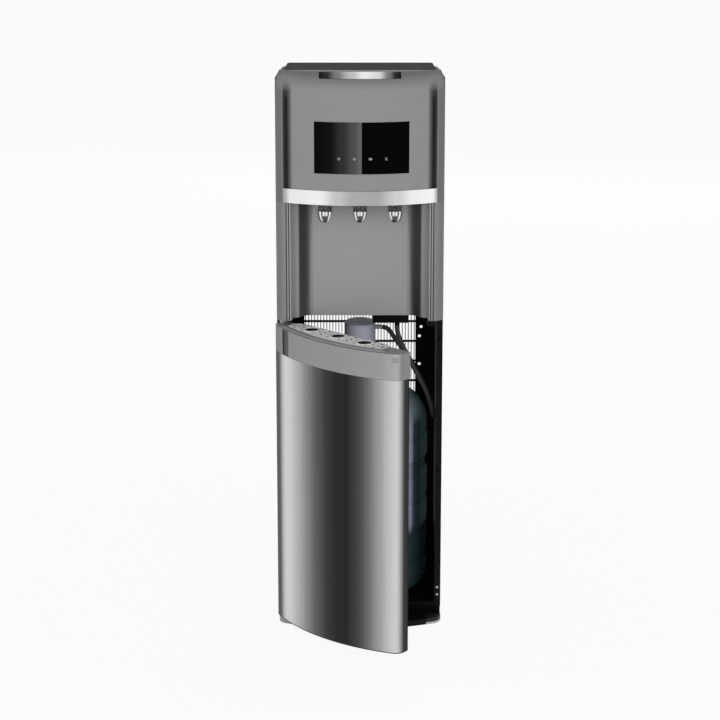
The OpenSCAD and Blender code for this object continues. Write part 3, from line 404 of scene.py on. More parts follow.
def tap_chrome_painted_reflection():
    """Chrome cups with a painted reflection: bright at both sides and dark in the middle, round each tap's
    own centre.
    """
    finish, tree, shader = start_finish("tap_chrome_painted_reflection", 0.12, 1.0)
    height = axis_value(tree, "Z")
    from_centre = calculate(tree, "PINGPONG", axis_value(tree, "X"), TAP_X[2] / 2)
    radius = between(tree, height, 0.0080, 0.0137, 0.7962, 0.8062)
    outward = calculate(tree, "DIVIDE", from_centre, radius)
    # Painted reflection on the bowl, the rim and the nozzle tip
    bowl = colour_stops(tree, outward, [(0.0, 84), (0.26, 92), (0.42, 120), (0.54, 240), (0.88, 252),
                                        (0.97, 180), (1.0, 110)])
    rim = colour_stops(tree, outward, [(0.0, 90), (0.10, 236), (0.28, 240), (0.37, 70), (0.48, 64),
                                       (0.57, 240), (0.92, 252), (1.0, 150)])
    painted_shine = blend_colours(tree, between(tree, height, 0, 1, 0.8085, 0.8105), bowl, rim)
    tip = blend_colours(tree, between(tree, outward, 0, 1, 0.3, 0.5), tone(110), tone(228))
    painted_shine = blend_colours(tree, between(tree, height, 1, 0, 0.7972, 0.7992), painted_shine, tip)
    tree.links.new(painted_shine, shader.inputs["Base Color"])
    vary_roughness(tree, shader, 60.0, 0.09, 0.16)
    return finish


def display_gloss_painted_sheen():
    """Black glass; the left half carries a painted grey sheen, a painted reflection that ends at a straight
    edge.
    """
    finish, tree, shader = start_finish("display_gloss_painted_sheen", 0.07, Specular_IOR_Level=0.02)
    # Painted reflection over the left half
    stops = [(0.0, 6), (0.16, 17), (0.30, 52), (0.42, 84), (0.497, 108), (0.503, 3), (1.0, 3)]
    sheen = colour_stops(tree, rise(tree, "X", -0.083, 0.089), stops)
    tree.links.new(sheen, shader.inputs["Base Color"])
    vary_roughness(tree, shader, 40.0, 0.05, 0.09)
    return finish


def bottle_plastic_painted_light():
    """Blue tinted bottle plastic: painted light and shade stripes across its wall, painted darker low down
    and lighter at the top, and the faint waves that blow moulding leaves.
    """
    finish, tree, shader = start_finish("bottle_plastic_painted_light", 0.12, Transmission_Weight=0.10, IOR=1.3)
    lilac, teal, pale = (0.92, 0.94, 1.06), (0.72, 0.96, 1), (0.88, 0.97, 1.04)
    # Painted light and shade stripes of the wall, by distance from the bottle's middle
    wall = [(0.0, tone(200, pale)), (0.6, tone(190, pale)), (0.66, tone(238, lilac)),
            (0.735, tone(240, lilac)), (0.785, tone(118, teal)), (0.85, tone(104, teal)),
            (0.91, tone(176, teal)), (0.96, tone(228, pale)), (1.0, tone(170, teal))]
    painted_heel_shade = [(0.0, tone(200, pale)), (0.6, tone(186, pale)), (0.68, tone(104, teal)),
            (0.9, tone(92, teal)), (1.0, tone(128, teal))]
    outward = calculate(tree, "ABSOLUTE", axis_value(tree, "X"), 0.0)
    across = between(tree, outward, 0, 1, 0.0, 0.133)
    low = between(tree, axis_value(tree, "Z"), 1, 0, 0.146, 0.172)
    painted_light_streaks = blend_colours(tree, low, colour_stops(tree, across, wall), colour_stops(tree, across, painted_heel_shade))
    painted_dome_light = between(tree, axis_value(tree, "Z"), 0, 0.75, 0.372, 0.392)
    painted_light_streaks = blend_colours(tree, painted_dome_light, painted_light_streaks, tone(244, (0.84, 0.98, 1)))
    waves = blend_colours(tree, noise(tree, place(tree, (1, 1, 0.4)), 24.0), (0.6, 0.6, 0.6, 1), WHITE)
    tree.links.new(blend_colours(tree, 1.0, painted_light_streaks, waves, "MULTIPLY"), shader.inputs["Base Color"])
    raise_grain(tree, shader, noise(tree, place(tree, (1, 1, 0.35)), 32.0, 2), 0.0012)
    return finish


def foot_cap_grey():
    """The left corner cap is grey all over; the right one is painted dark above, as in shade, with a painted
    highlight along its lowest edge.
    """
    finish, tree, shader = start_finish("foot_cap_painted_light", 0.4, Specular_IOR_Level=0.3)
    side = rise(tree, "X", -0.01, 0.01)
    # The right cap is painted dark above as in shade, with a painted highlight on its lowest edge
    upper = blend_colours(tree, side, tone(182), tone(34))
    lower = blend_colours(tree, side, tone(182), tone(216))
    mottle(tree, shader, blend_colours(tree, rise(tree, "Z", 0.0043, 0.0047), lower, upper), 12.0, 0.92)
    return finish


def milky_cap():
    """Milky lavender bottle cap; its flat top is painted darker, as in shade."""
    finish, tree, shader = start_finish("cap_blue_painted_top_shade", 0.55)
    top = rise(tree, "Z", 0.5535, 0.5556)
    side_tone, painted_top_shade = tone(255, (0.92, 0.935, 1)), tone(222, (0.9, 0.92, 1))
    mottle(tree, shader, blend_colours(tree, top, side_tone, painted_top_shade), 16.0, 0.93)
    spark_grain(tree, shader, 0.00003)
    return finish


def tinted_tube(name, level, tint=(1, 1, 1)):
    finish, tree, shader = start_finish(name, 0.28, Transmission_Weight=0.25, IOR=1.42)
    spot = place(tree)
    tree.links.new(blend_colours(tree, noise(tree, spot, 30.0), tone(level * 0.85, tint), tone(level, tint)),
                   shader.inputs["Base Color"])
    raise_grain(tree, shader, noise(tree, spot, 400.0), 0.00003)
    return finish


def cell_foam():
    finish, tree, shader = start_finish("cell_foam", 0.9)
    cells = tree.nodes.new("ShaderNodeTexVoronoi")
    cells.inputs["Scale"].default_value = 260.0
    tree.links.new(place(tree), cells.inputs["Vector"])
    tree.links.new(blend_colours(tree, cells.outputs["Distance"], tone(214, (1, 0.97, 0.84)),
                                 tone(176, (1, 0.95, 0.78))), shader.inputs["Base Color"])
    raise_grain(tree, shader, cells.outputs["Distance"], 0.0006)
    return finish


def zinc_spangle():
    finish, tree, shader = start_finish("zinc_spangle", 0.42, 1.0)
    flakes = tree.nodes.new("ShaderNodeTexVoronoi")
    flakes.inputs["Scale"].default_value = 120.0
    tree.links.new(place(tree), flakes.inputs["Vector"])
    tree.links.new(blend_colours(tree, flakes.outputs["Color"], tone(150), tone(196)),
                   shader.inputs["Base Color"])
    tree.links.new(between(tree, flakes.outputs["Distance"], 0.32, 0.5, 0, 0.01), shader.inputs["Roughness"])
    return finish


def circuit_board():
    finish, tree, shader = start_finish("circuit_board", 0.45)
    tracks = tree.nodes.new("ShaderNodeTexBrick")
    tracks.inputs["Scale"].default_value = 90.0
    tracks.inputs["Mortar Size"].default_value = 0.04
    tracks.inputs["Color1"].default_value = tone(66, (0.35, 1, 0.5))
    tracks.inputs["Color2"].default_value = tone(78, (0.35, 1, 0.5))
    tracks.inputs["Mortar"].default_value = tone(118, (0.5, 1, 0.6))
    tree.links.new(place(tree), tracks.inputs["Vector"])
    tree.links.new(tracks.outputs["Color"], shader.inputs["Base Color"])
    raise_grain(tree, shader, tracks.outputs["Fac"], 0.00003)
    return finish


# Painted shade, with lighter painted groove edges, of the alcove's coves and grooves and the fascia's side
# channels: grey level by the distance in mm from the middle of the machine
ALCOVE_SHADE = [(85, 163), (91, 143), (96, 88), (101, 52), (108, 46), (112, 60), (113.5, 138), (116, 168),
                (118.5, 150), (122, 138), (124.5, 160), (127, 178), (129.6, 172), (130.2, 70), (131.4, 62),
                (132, 150), (134.2, 162), (134.8, 70), (136, 62), (136.8, 140), (141, 138), (148, 130),
                (155, 112)]
CHANNEL_SHADE = [(120, 150), (123.6, 149), (125, 132), (128, 92), (132, 50), (136, 38), (138.6, 44),
                 (139.6, 84), (141, 122), (147, 118), (155, 104)]


def make_finishes():
    return {
        "grey_gloss_plastic": moulded_plastic("grey_gloss_plastic_finish", 143),
        "alcove_grey": painted_shade_moulding("alcove_grey_painted_shade", 85, 155, ALCOVE_SHADE),
        # The fascia's channels and crown are painted darker, as in shade
        "fascia_grey": painted_shade_moulding("fascia_grey_painted_shade", 120, 155, CHANNEL_SHADE,
                                     (1038, 1062, 1044, 1075, 112)),
        "tray_grey": moulded_plastic("tray_grey_finish", 144, 0.36),
        "side_sheet": moulded_plastic("side_sheet_finish", 134, 0.42, 0.00003, 0.018),
        "black_plastic": moulded_plastic("black_plastic_finish", 9, 0.42, 0.00004,
                                         Specular_IOR_Level=0.12),
        "dark_lid_plastic": moulded_plastic("dark_lid_finish", 50, 0.8, 0.00006, 0.015,
                                            Specular_IOR_Level=0.06),
        "white_plastic": moulded_plastic("white_plastic_finish", 226, 0.4, tint=(1, 0.99, 0.97)),
        "switch_red": moulded_plastic("switch_red_finish", 190, 0.3, tint=(1, 0.14, 0.1)),
        "switch_green": moulded_plastic("switch_green_finish", 150, 0.3, tint=(0.12, 1, 0.3)),
        "cap_blue": milky_cap(),
        "soft_rubber": moulded_plastic("soft_rubber_finish", 30, 0.75, 0.00008),
        "compressor_black": moulded_plastic("compressor_black_finish", 20, 0.3, 0.00012),
        "condenser_black": moulded_plastic("condenser_black_finish", 16, 0.45, 0.00008),
        "mark_print": moulded_plastic("mark_print_finish", 150, 0.5),
        "grille_silver": moulded_plastic("grille_silver_finish", 252, 0.2, 0.00002, 0.03),
        "zinc_sheet": zinc_spangle(),
        "polished_metal": tap_chrome_painted_reflection(),
        "steel_skin": door_steel(),
        "tank_steel": metal_sheet("tank_steel_finish", 196, 0.28, (1, 1, 0.03)),
        "copper": metal_sheet("copper_finish", 205, 0.3, (1, 1, 0.1), tint=(1, 0.6, 0.42)),
        "screw_zinc": screw_steel(),
        "display_black": display_gloss_painted_sheen(),
        "board_green": circuit_board(),
        "foam": cell_foam(),
        "hose_grey": tinted_tube("hose_grey_finish", 86),
        "water_tube": tinted_tube("water_tube_finish", 215),
        "bottle_blue": bottle_plastic_painted_light(),
    }


# ---------------------------------------------------------------- pieces

def apply(piece, kind, **settings):
    pick(piece)
    change = piece.modifiers.new(kind.lower(), kind)
    for setting, value in settings.items():
        setattr(change, setting, value)
    bpy.ops.object.modifier_apply(modifier=change.name)


def cut_away(piece, block):
    """Cuts a block out of a piece; the block goes."""
    apply(piece, "BOOLEAN", object=block, operation="DIFFERENCE", solver="EXACT")
    bpy.data.objects.remove(block)


def shade_smooth(degrees):
    bpy.ops.object.shade_smooth_by_angle(angle=math.radians(degrees))


def weld(piece, distance, outward=False):
    """Joins corners that lie together, and can turn all faces outward."""
    pick(piece)
    bpy.ops.object.mode_set(mode="EDIT")
    bpy.ops.mesh.select_all(action="SELECT")
    bpy.ops.mesh.remove_doubles(threshold=distance)
    if outward:
        bpy.ops.mesh.normals_make_consistent(inside=False)
    bpy.ops.object.mode_set(mode="OBJECT")


def join(parts):
    """The parts as one piece, the first of them."""
    deselect_all()
    for part in parts:
        part.select_set(True)
    bpy.context.view_layer.objects.active = parts[0]
    bpy.ops.object.join()
    return parts[0]


def hand_over(piece, node, finish):
    """The piece stands for the node, rides on its body and takes its slot's finish."""
    piece.data.materials.clear()
    piece.data.materials.append(finish)
    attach(piece, body_of_node[node])
    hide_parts(node)


def soften(node, finish, edge):
    """The node again with its corners merged and a small round on every sharp edge."""
    source = frame_nodes[node]
    piece = bpy.data.objects.new("soft_" + node, source.data.copy())
    bpy.context.scene.collection.objects.link(piece)
    pick(piece)
    bpy.ops.object.mode_set(mode="EDIT")
    bpy.ops.mesh.select_all(action="SELECT")
    bpy.ops.mesh.customdata_custom_splitnormals_clear()
    bpy.ops.mesh.remove_doubles(threshold=0.000004)
    bpy.ops.mesh.dissolve_degenerate(threshold=0.00001)
    bpy.ops.object.mode_set(mode="OBJECT")
    if edge:
        apply(piece, "BEVEL", width=edge, segments=2, limit_method="ANGLE",
              angle_limit=math.radians(30), use_clamp_overlap=False)
    shade_smooth(35)
    apply(piece, "WEIGHTED_NORMAL", keep_sharp=True)
    hand_over(piece, node, finish)


# The fascia in plan: its bow's radius and centre, the corner's round, and the lid behind it
ARC_R, ARC_Y = 0.36071, 0.18571
CORNER_X, CORNER_Y, CORNER_R = 0.134, -0.12645, 0.021
CORNER_START = math.asin(CORNER_X / (ARC_R - CORNER_R))
BODY_TOP, BODY_HALF = 1.075, 0.155
LID_LINE, LID_FRONT, LID_SEAT, LID_SIDE = -0.141, -0.138, 1.043, 0.139
ROLL_MIDDLE, ROLL_CORNER, ROLL_SIDE = 0.034, 0.018, 0.016   # how tall the roll is along the top edge
ROLL_NARROWS, ROLL_RUN = 0.126, 0.0163


def arc_front(x):
    return ARC_Y - math.sqrt(ARC_R ** 2 - x ** 2)


def crown_columns():
    """Plan points of the fascia's right half, each with its point on the top edge and roll height."""
    columns = []
    for x in [12 * k for k in range(11)] + [122.5, 123.4, 124.2, 125.5, 127, 129, 131, 133, 135, 136.6,
                                            137.8, 138.7, 139.2, 139.6, 140.1, 141]:
        x *= MM
        out = max(0, (x - ROLL_NARROWS) / ROLL_RUN)
        roll = ROLL_MIDDLE - (ROLL_MIDDLE - ROLL_CORNER) * out ** 2
        columns.append(((x, arc_front(x)), (min(x, LID_SIDE), LID_LINE), roll))
    for k in range(13):
        part = k / 12
        turn = CORNER_START + part * (math.pi / 2 - CORNER_START)
        foot = (CORNER_X + CORNER_R * math.sin(turn), CORNER_Y - CORNER_R * math.cos(turn))
        roll = ROLL_CORNER - (ROLL_CORNER - ROLL_SIDE) * part
        columns.append((foot, (LID_SIDE, LID_LINE + part * (CORNER_Y - LID_LINE)), roll))
    for y in (-0.119, -0.112):
        columns.append(((BODY_HALF, y), (LID_SIDE, y), ROLL_SIDE))
    return columns


def crown_point(foot, head, roll, along):
    """along runs 0 to 1 up the straight front and 1 to 2 round the roll."""
    if along <= 1:
        return foot[0], foot[1], FASCIA_FOOT + (BODY_TOP - roll - FASCIA_FOOT) * along
    turn = (along - 1) * math.pi / 2
    inward = 1 - math.cos(turn)
    return (foot[0] + (head[0] - foot[0]) * inward, foot[1] + (head[1] - foot[1]) * inward,
            BODY_TOP - roll + roll * math.sin(turn))


CHANNEL = [(0.1235, -0.1535), (0.130, -0.1475), (0.1365, -0.1415), (0.1392, -0.1415), (0.1401, -0.149)]
CHANNEL_DEEP, CHANNEL_START, CHANNEL_FADE, CHANNEL_SLOPE = -0.1415, 0.854, 1.027, 0.5875


def channel_floor(x, y, z):
    """The sunk channel at each side of the fascia runs up and fades out below the roll."""
    for (x0, y0), (x1, y1) in zip(CHANNEL, CHANNEL[1:]):
        if x0 <= x < x1 and z > CHANNEL_START:
            deep = y0 + (y1 - y0) * (x - x0) / (x1 - x0)
            return max(y, min(deep, CHANNEL_DEEP - max(0, z - CHANNEL_FADE) * CHANNEL_SLOPE))
    return y


def grid_sheet(name, columns, rows):
    """A grid laid out as columns by rows of points; columns run left to right, rows bottom to top."""
    deselect_all()
    bpy.ops.mesh.primitive_grid_add(x_subdivisions=len(columns) - 1, y_subdivisions=len(rows) - 1, size=2)
    sheet = bpy.context.object
    sheet.name = name
    for corner in sheet.data.vertices:
        column = round((corner.co.x + 1) / 2 * (len(columns) - 1))
        row = round((corner.co.y + 1) / 2 * (len(rows) - 1))
        corner.co = columns[column](rows[row])
    return sheet


def cut_window(sheet, left, right, low, high):
    """Opens a window in a sheet that faces the front: cut along its four sides, then take it out."""
    pick(sheet)
    for spot, way in (((left, 0, 0), (1, 0, 0)), ((right, 0, 0), (1, 0, 0)),
                      ((0, 0, low), (0, 0, 1)), ((0, 0, high), (0, 0, 1))):
        bpy.ops.object.mode_set(mode="EDIT")
        bpy.ops.mesh.select_all(action="SELECT")
        bpy.ops.mesh.bisect(plane_co=spot, plane_no=way)
        bpy.ops.mesh.select_all(action="DESELECT")
        bpy.ops.object.mode_set(mode="OBJECT")
    for face in sheet.data.polygons:
        face.select = left < face.center.x < right and low < face.center.z < high
    bpy.ops.object.mode_set(mode="EDIT")
    bpy.ops.mesh.select_mode(type="FACE")
    bpy.ops.mesh.delete(type="FACE")
    bpy.ops.mesh.select_mode(type="VERT")
    bpy.ops.object.mode_set(mode="OBJECT")


def roll_fascia(finish):
    """The fascia: bowed front, roll over the top, sunk side channels, opening for the glass."""
    half = crown_columns()
    both = [((-foot[0], foot[1]), (-head[0], head[1]), roll) for foot, head, roll in half[:0:-1]] + half
    rows = [k / 26 for k in range(20)] + [0.75, 0.78, 0.81, 0.84, 0.87, 0.90, 0.93, 0.96, 0.98]
    rows += [1 + k / 14 for k in range(15)] + [2.1]

    def column(foot, head, roll):
        def at(along):
            if foot[1] > LID_FRONT:
                return foot[0], foot[1], min(FASCIA_FOOT + (LID_SEAT - FASCIA_FOOT) * along, LID_SEAT)
            if along > 2:
                return head[0], LID_FRONT, BODY_TOP
            x, y, z = crown_point(foot, head, roll, along)
            return x, min(LID_FRONT, channel_floor(abs(x), y, z)), z
        return at
    sheet = grid_sheet("fascia_moulding", [column(*parts) for parts in both], rows)
    cut_window(sheet, *GLASS_WINDOW)
    weld(sheet, 0.000005)
    apply(sheet, "SOLIDIFY", thickness=0.0022, offset=-1.0)
    shade_smooth(42)
    hand_over(sheet, "front_fascia", finish)


def roll_strip(finish):
    """The bright strip lies on the roll, from 42 to 73 degrees round it, and follows its bow."""
    lift = 0.0011

    def column(x):
        foot, head = (x, arc_front(x)), (x, LID_LINE)

        def at(angle):
            x, y, z = crown_point(foot, head, ROLL_MIDDLE, 1 + angle / 90)
            lean = math.radians(angle)
            return x, y - lift * math.cos(lean), min(z + lift * math.sin(lean), BODY_TOP - 0.0004)
        return at
    sheet = grid_sheet("bright_roll_strip", [column((-74 + 148 * k / 48) * MM) for k in range(49)],
                       [42 + 31 * k / 10 for k in range(11)])
    apply(sheet, "SOLIDIFY", thickness=0.0012, offset=-1.0)
    apply(sheet, "BEVEL", width=0.0003, segments=2, limit_method="ANGLE", angle_limit=math.radians(50))
    shade_smooth(40)
    hand_over(sheet, "top_chrome_strip", finish)


def blacken_hem(piece, black):
    """The sheet's front flange beside the bay is finished black."""
    piece.data.materials.append(black)
    for face in piece.data.polygons:
        if face.center.y < -0.1085 and face.center.z < 0.604 and face.normal.y < -0.5:
            face.material_index = 1


def shade_grille(piece, bright, dark):
    """The three big openings take the rim's finish, painted black low down as in shade; the small drain
    holes and the grille's side walls are painted black as in shade.
    """
    piece.data.materials.append(bright)
    piece.data.materials.append(dark)
    turn = Matrix.Rotation(-DOOR_OPEN, 3, "Z")
    middles = [DOOR_HINGE + turn @ (Vector((x, GRILLE_Y, 0)) - DOOR_HINGE) for x in TAP_X]
    reach = 0.0165
    # The big openings' faces take the rim finish; all other side walls are painted black as in shade
    for face in piece.data.polygons:
        if min((face.center - middle).xy.length for middle in middles) < reach:
            face.material_index = 1
        elif abs(face.normal.z) < 0.5:
            face.material_index = 2


def sink(piece, spot, size, lean, deep):
    """Sinks a rectangular recess into the shut door's face at spot, whose wall leans by an angle."""
    thick = 0.006
    outward = Vector((math.sin(lean), -math.cos(lean), 0))
    middle = Vector(spot) + outward * (thick / 2 - deep)
    turn = Matrix.Rotation(-DOOR_OPEN, 3, "Z")
    deselect_all()
    bpy.ops.mesh.primitive_cube_add(size=1, location=DOOR_HINGE + turn @ (middle - DOOR_HINGE),
                                    rotation=(0, 0, lean - DOOR_OPEN))
    block = bpy.context.object
    block.scale = (size[0], thick, size[1])
    bpy.ops.object.transform_apply(location=True, rotation=True, scale=True)
    cut_away(piece, block)


def turned(name, profile, sides=48):
    """A ring of points carried along a profile of radius and height, about the Z axis."""
    deselect_all()
    bpy.ops.mesh.primitive_circle_add(vertices=sides, radius=profile[0][0], location=(0, 0, 0))
    piece = bpy.context.object
    piece.name = name
    bpy.ops.object.mode_set(mode="EDIT")
    bpy.ops.mesh.select_all(action="SELECT")
    bpy.ops.transform.translate(value=(0, 0, profile[0][1]))
    for (radius, height), (next_radius, next_height) in zip(profile, profile[1:]):
        bpy.ops.mesh.extrude_region_move(TRANSFORM_OT_translate={"value": (0, 0, next_height - height)})
        size = next_radius / radius
        bpy.ops.transform.resize(value=(size, size, 1), center_override=(0, 0, 0))
    bpy.ops.mesh.select_all(action="SELECT")
    bpy.ops.mesh.remove_doubles(threshold=0.00001)
    bpy.ops.mesh.normals_make_consistent(inside=False)
    bpy.ops.object.mode_set(mode="OBJECT")
    bpy.ops.object.transform_apply(location=True, rotation=True, scale=True)
    return piece


def repeat(piece, spots):
    """Copies of a piece, each with its own mesh, one at each spot; the piece itself takes the first."""
    pieces = [piece]
    for number in range(1, len(spots)):
        again = bpy.data.objects.new(piece.name + "_" + str(number + 1), piece.data.copy())
        bpy.context.scene.collection.objects.link(again)
        pieces.append(again)
    for part, spot in zip(pieces, spots):
        part.data.transform(Matrix.Translation(spot))
    return pieces


def turn_tap_cups(finish):
    """Round chrome cups, narrowing to the nozzle, with their stems."""
    profile = [(0.0040, 0.847), (0.0040, 0.7955), (0.0062, 0.7955), (0.0078, 0.7960), (0.0093, 0.7974),
               (0.0108, 0.7999), (0.0121, 0.8032), (0.0130, 0.8070), (0.0135, 0.8110), (0.0136, 0.8160),
               (0.0131, 0.8172), (0.0090, 0.8174), (0.0090, 0.847), (0.0040, 0.847)]
    cup = turned("chrome_tap_cup", profile)
    shade_smooth(40)
    for part, node in zip(repeat(cup, TAP_SPOTS), ("hot_tap", "ambient_tap", "cold_tap")):
        hand_over(part, node, finish)


def turn_tap_collars(finish):
    """Dark collars between the taps and the band, ribbed all round."""
    profile = [(0.0093, 0.832), (0.0138, 0.832), (0.0138, 0.8285), (0.0128, 0.8255), (0.0124, 0.821),
               (0.0126, 0.8178), (0.0093, 0.8178), (0.0093, 0.832)]
    collar = turned("ribbed_tap_collar", profile, 72)
    ribs, groove = 24, 0.93
    for corner in collar.data.vertices:
        around = math.atan2(corner.co.y, corner.co.x) / math.tau * ribs
        if corner.co.xy.length > 0.012 and corner.co.z < 0.828 and 0.3 < around % 1 < 0.9:
            corner.co.xy *= groove
    shade_smooth(25)
    for part in repeat(collar, TAP_SPOTS):
        hand_over(part, "tap_collars", finish)


def print_marks(finish):
    """Four plain signs on the glass: a ringed dot, a drop, a pill and a crossed pair of bars."""
    # for each sign's x: shape, right, up, half or full width, half or full height, tilt
    signs = {
        -0.0385: [("ring", 0, 0, 0.0027, 0.0027, 0), ("disc", 0.0004, -0.0002, 0.0011, 0.0014, 0)],
        -0.0100: [("disc", 0, -0.0003, 0.0025, 0.0024, 0), ("bar", -0.0003, 0.0018, 0.0022, 0.0030, 0.7)],
        0.0190: [("disc", 0, 0, 0.0034, 0.0024, 0)],
        0.0475: [("bar", 0, 0, 0.0062, 0.0011, 0.8), ("bar", 0, 0, 0.0058, 0.0011, -0.9),
                 ("disc", 0.0016, -0.0018, 0.0012, 0.0012, 0)]}
    thick, wire = 0.00026, 0.22
    upright = (math.pi / 2, 0, 0)
    parts = []
    for middle, shapes in signs.items():
        faces = [v.co.y for v in frame_nodes["panel_marks"].data.vertices if abs(v.co.x - middle) < 0.004]
        depth = (min(faces) + max(faces)) / 2
        for kind, right, up, wide, tall, tilt in shapes:
            deselect_all()
            size = (wide, thick, tall)
            if kind == "bar":
                bpy.ops.mesh.primitive_cube_add(size=1)
            elif kind == "ring":
                bpy.ops.mesh.primitive_torus_add(major_segments=32, minor_segments=8, major_radius=1,
                                                 minor_radius=wire, rotation=upright)
                size = (wide / (1 + wire), 0.00059, tall / (1 + wire))
            else:
                bpy.ops.mesh.primitive_cylinder_add(vertices=28, radius=1, depth=1, rotation=upright)
            part = bpy.context.object
            bpy.ops.object.transform_apply(location=False, rotation=True, scale=True)
            for change in (Matrix.Diagonal((*size, 1)), Matrix.Rotation(tilt, 4, "Y"),
                           Matrix.Translation((right, 0, up)),
                           Matrix.Rotation(math.asin(middle / ARC_R), 4, "Z"),
                           Matrix.Translation((middle, depth, SIGNS_HEIGHT))):
                part.data.transform(change)
            parts.append(part)
    piece = join(parts)
    piece.name = "printed_signs"
    bpy.ops.object.transform_apply(location=True, rotation=True, scale=True)
    hand_over(piece, "panel_marks", finish)


def slope_lid(dark, grey):
    """The dark lid plate with its raised edge, on a shoulder that rounds over to the side sheets."""
    across = [(0, 0), (0.03, 0), (0.06, 0), (0.09, 0), (0.12, 0), (0.132, 0), (0.1362, 0.0001),
              (0.1385, 0.0006), (0.1398, 0.0016), (0.1404, 0.0030), (0.1406, 0.0062), (0.1414, 0.0066),
              (0.1440, 0.0070), (0.1468, 0.0078), (0.1492, 0.0090), (0.1512, 0.0108), (0.1525, 0.0132),
              (0.1532, 0.0162), (0.1534, 0.0200), (0.1534, 0.0258)]
    along = [(-0.137, 0), (-0.12, 0), (-0.08, 0), (-0.03, 0), (0.02, 0), (0.07, 0), (0.12, 0),
             (0.1614, 0), (0.1660, 0.0009), (0.1699, 0.0035), (0.1725, 0.0074), (0.1733, 0.012),
             (0.1734, 0.0258)]
    front_top, fall, deepest = 1.0734, math.tan(math.radians(7.6)), 0.0258

    def column(x, drop):
        def at(row):
            y, back_drop = row
            return x, y, front_top - (y - along[0][0]) * fall - min(deepest, drop + back_drop)
        return at
    both = [(-x, drop) for x, drop in across[:0:-1]] + across
    sheet = grid_sheet("sloping_lid", [column(*parts) for parts in both], along)
    apply(sheet, "SOLIDIFY", thickness=0.002, offset=-1.0)
    shade_smooth(38)
    hand_over(sheet, "top_lid", dark)
    sheet.data.materials.append(grey)
    plate_half = 0.1405
    for face in sheet.data.polygons:
        if abs(face.center.x) > plate_half:
            face.material_index = 1


def drive_screws(finish):
    """Cross-recess screw heads: one is made, and copies of it stand at every screw of the cabinet."""
    tall, slot_wide, slot_long = 0.0014, 0.0007, 0.0032
    deselect_all()
    bpy.ops.mesh.primitive_cylinder_add(vertices=24, radius=0.0029, depth=tall, location=(0, 0, tall / 2))
    head = bpy.context.object
    head.name = "cross_recess_screws"
    bpy.ops.object.transform_apply(location=True, rotation=True, scale=True)
    apply(head, "BEVEL", width=0.0006, segments=3, limit_method="ANGLE", angle_limit=math.radians(60))
    for width, length in ((slot_wide, slot_long), (slot_long, slot_wide)):
        deselect_all()
        bpy.ops.mesh.primitive_cube_add(size=1, location=(0, 0, tall))
        blade = bpy.context.object
        blade.scale = (width, length, tall)
        bpy.ops.object.transform_apply(location=True, rotation=True, scale=True)
        cut_away(head, blade)
    weld(head, 0.000005, outward=True)
    shade_smooth(35)
    front = [Matrix.Translation((side * 0.1484, -0.110, z)) @ Matrix.Rotation(math.pi / 2, 4, "X")
             for side in (-1, 1) for z in (0.046, 0.061, 0.300, 0.560)]
    back = [Matrix.Translation((side * 0.148, 0.175, z)) @ Matrix.Rotation(-math.pi / 2, 4, "X")
            for side in (-1, 1) for z in (0.040, 0.3305, 0.6205, 0.9419)]
    heads = repeat(head, [(0, 0, 0)] * len(front + back))
    for part, spot in zip(heads, front + back):
        part.data.transform(spot)
    hand_over(join(heads), "panel_screws", finish)


def lay_suction_hose(finish):
    """The grey hose from the probe cap down beside the bottle and up to the pump."""
    deselect_all()
    bpy.ops.curve.primitive_bezier_curve_add(location=(0, 0, 0))
    hose = bpy.context.object
    hose.name = "grey_suction_hose"
    line = hose.data.splines[0]
    line.bezier_points.add(len(SUCTION_ROUTE) - 2)
    for point, spot in zip(line.bezier_points, SUCTION_ROUTE):
        point.co = spot
        point.handle_left_type = point.handle_right_type = "AUTO"
    hose.data.dimensions = "3D"
    hose.data.bevel_depth = HOSE_RADIUS
    hose.data.bevel_resolution = 5
    hose.data.resolution_u = 8
    hose.data.use_fill_caps = True
    hose.data.materials.append(finish)
    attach(hose, "root")
    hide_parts("suction_hose")


# ---------------------------------------------------------------- studio

def seen_or_lit(tree, seen, lit):
    """One shader for rays that look at a surface or past it, another for the light it throws."""
    rays = tree.nodes.new("ShaderNodeLightPath").outputs
    looking = calculate(tree, "MAXIMUM", rays["Is Camera Ray"], rays["Is Glossy Ray"])
    looking = calculate(tree, "MAXIMUM", looking, rays["Is Transmission Ray"])
    choice = tree.nodes.new("ShaderNodeMixShader")
    for number, value in enumerate((looking, lit, seen)):
        tree.links.new(value, choice.inputs[number])
    return choice.outputs[0]


def light_studio():
    world = bpy.data.worlds.new("white_room")
    bpy.context.scene.world = world
    world.use_nodes = True
    tree = world.node_tree
    tree.nodes.clear()
    out = tree.nodes.new("ShaderNodeOutputWorld")
    shades = []
    for strength in (1.0, 0.40):
        shade = tree.nodes.new("ShaderNodeBackground")
        shade.inputs["Color"].default_value = WHITE
        shade.inputs["Strength"].default_value = strength
        shades.append(shade.outputs[0])
    tree.links.new(seen_or_lit(tree, *shades), out.inputs["Surface"])
    lamps = {"front_left_box": ((-1.1, -3.4, 0.95), 34), "front_right_box": ((1.1, -3.4, 0.95), 34),
             "back_box": ((0.4, 3.4, 1.8), 30)}
    middle = Vector((0, 0, 0.55))
    for name, (spot, power) in lamps.items():
        box = bpy.data.lights.new(name, "AREA")
        box.shape = "RECTANGLE"
        box.size = box.size_y = 3.2
        box.energy = power
        lamp = bpy.data.objects.new(name, box)
        lamp.location = spot
        lamp.visible_glossy = False
        lamp.rotation_euler = (middle - lamp.location).to_track_quat("-Z", "Y").to_euler()
        bpy.context.scene.collection.objects.link(lamp)


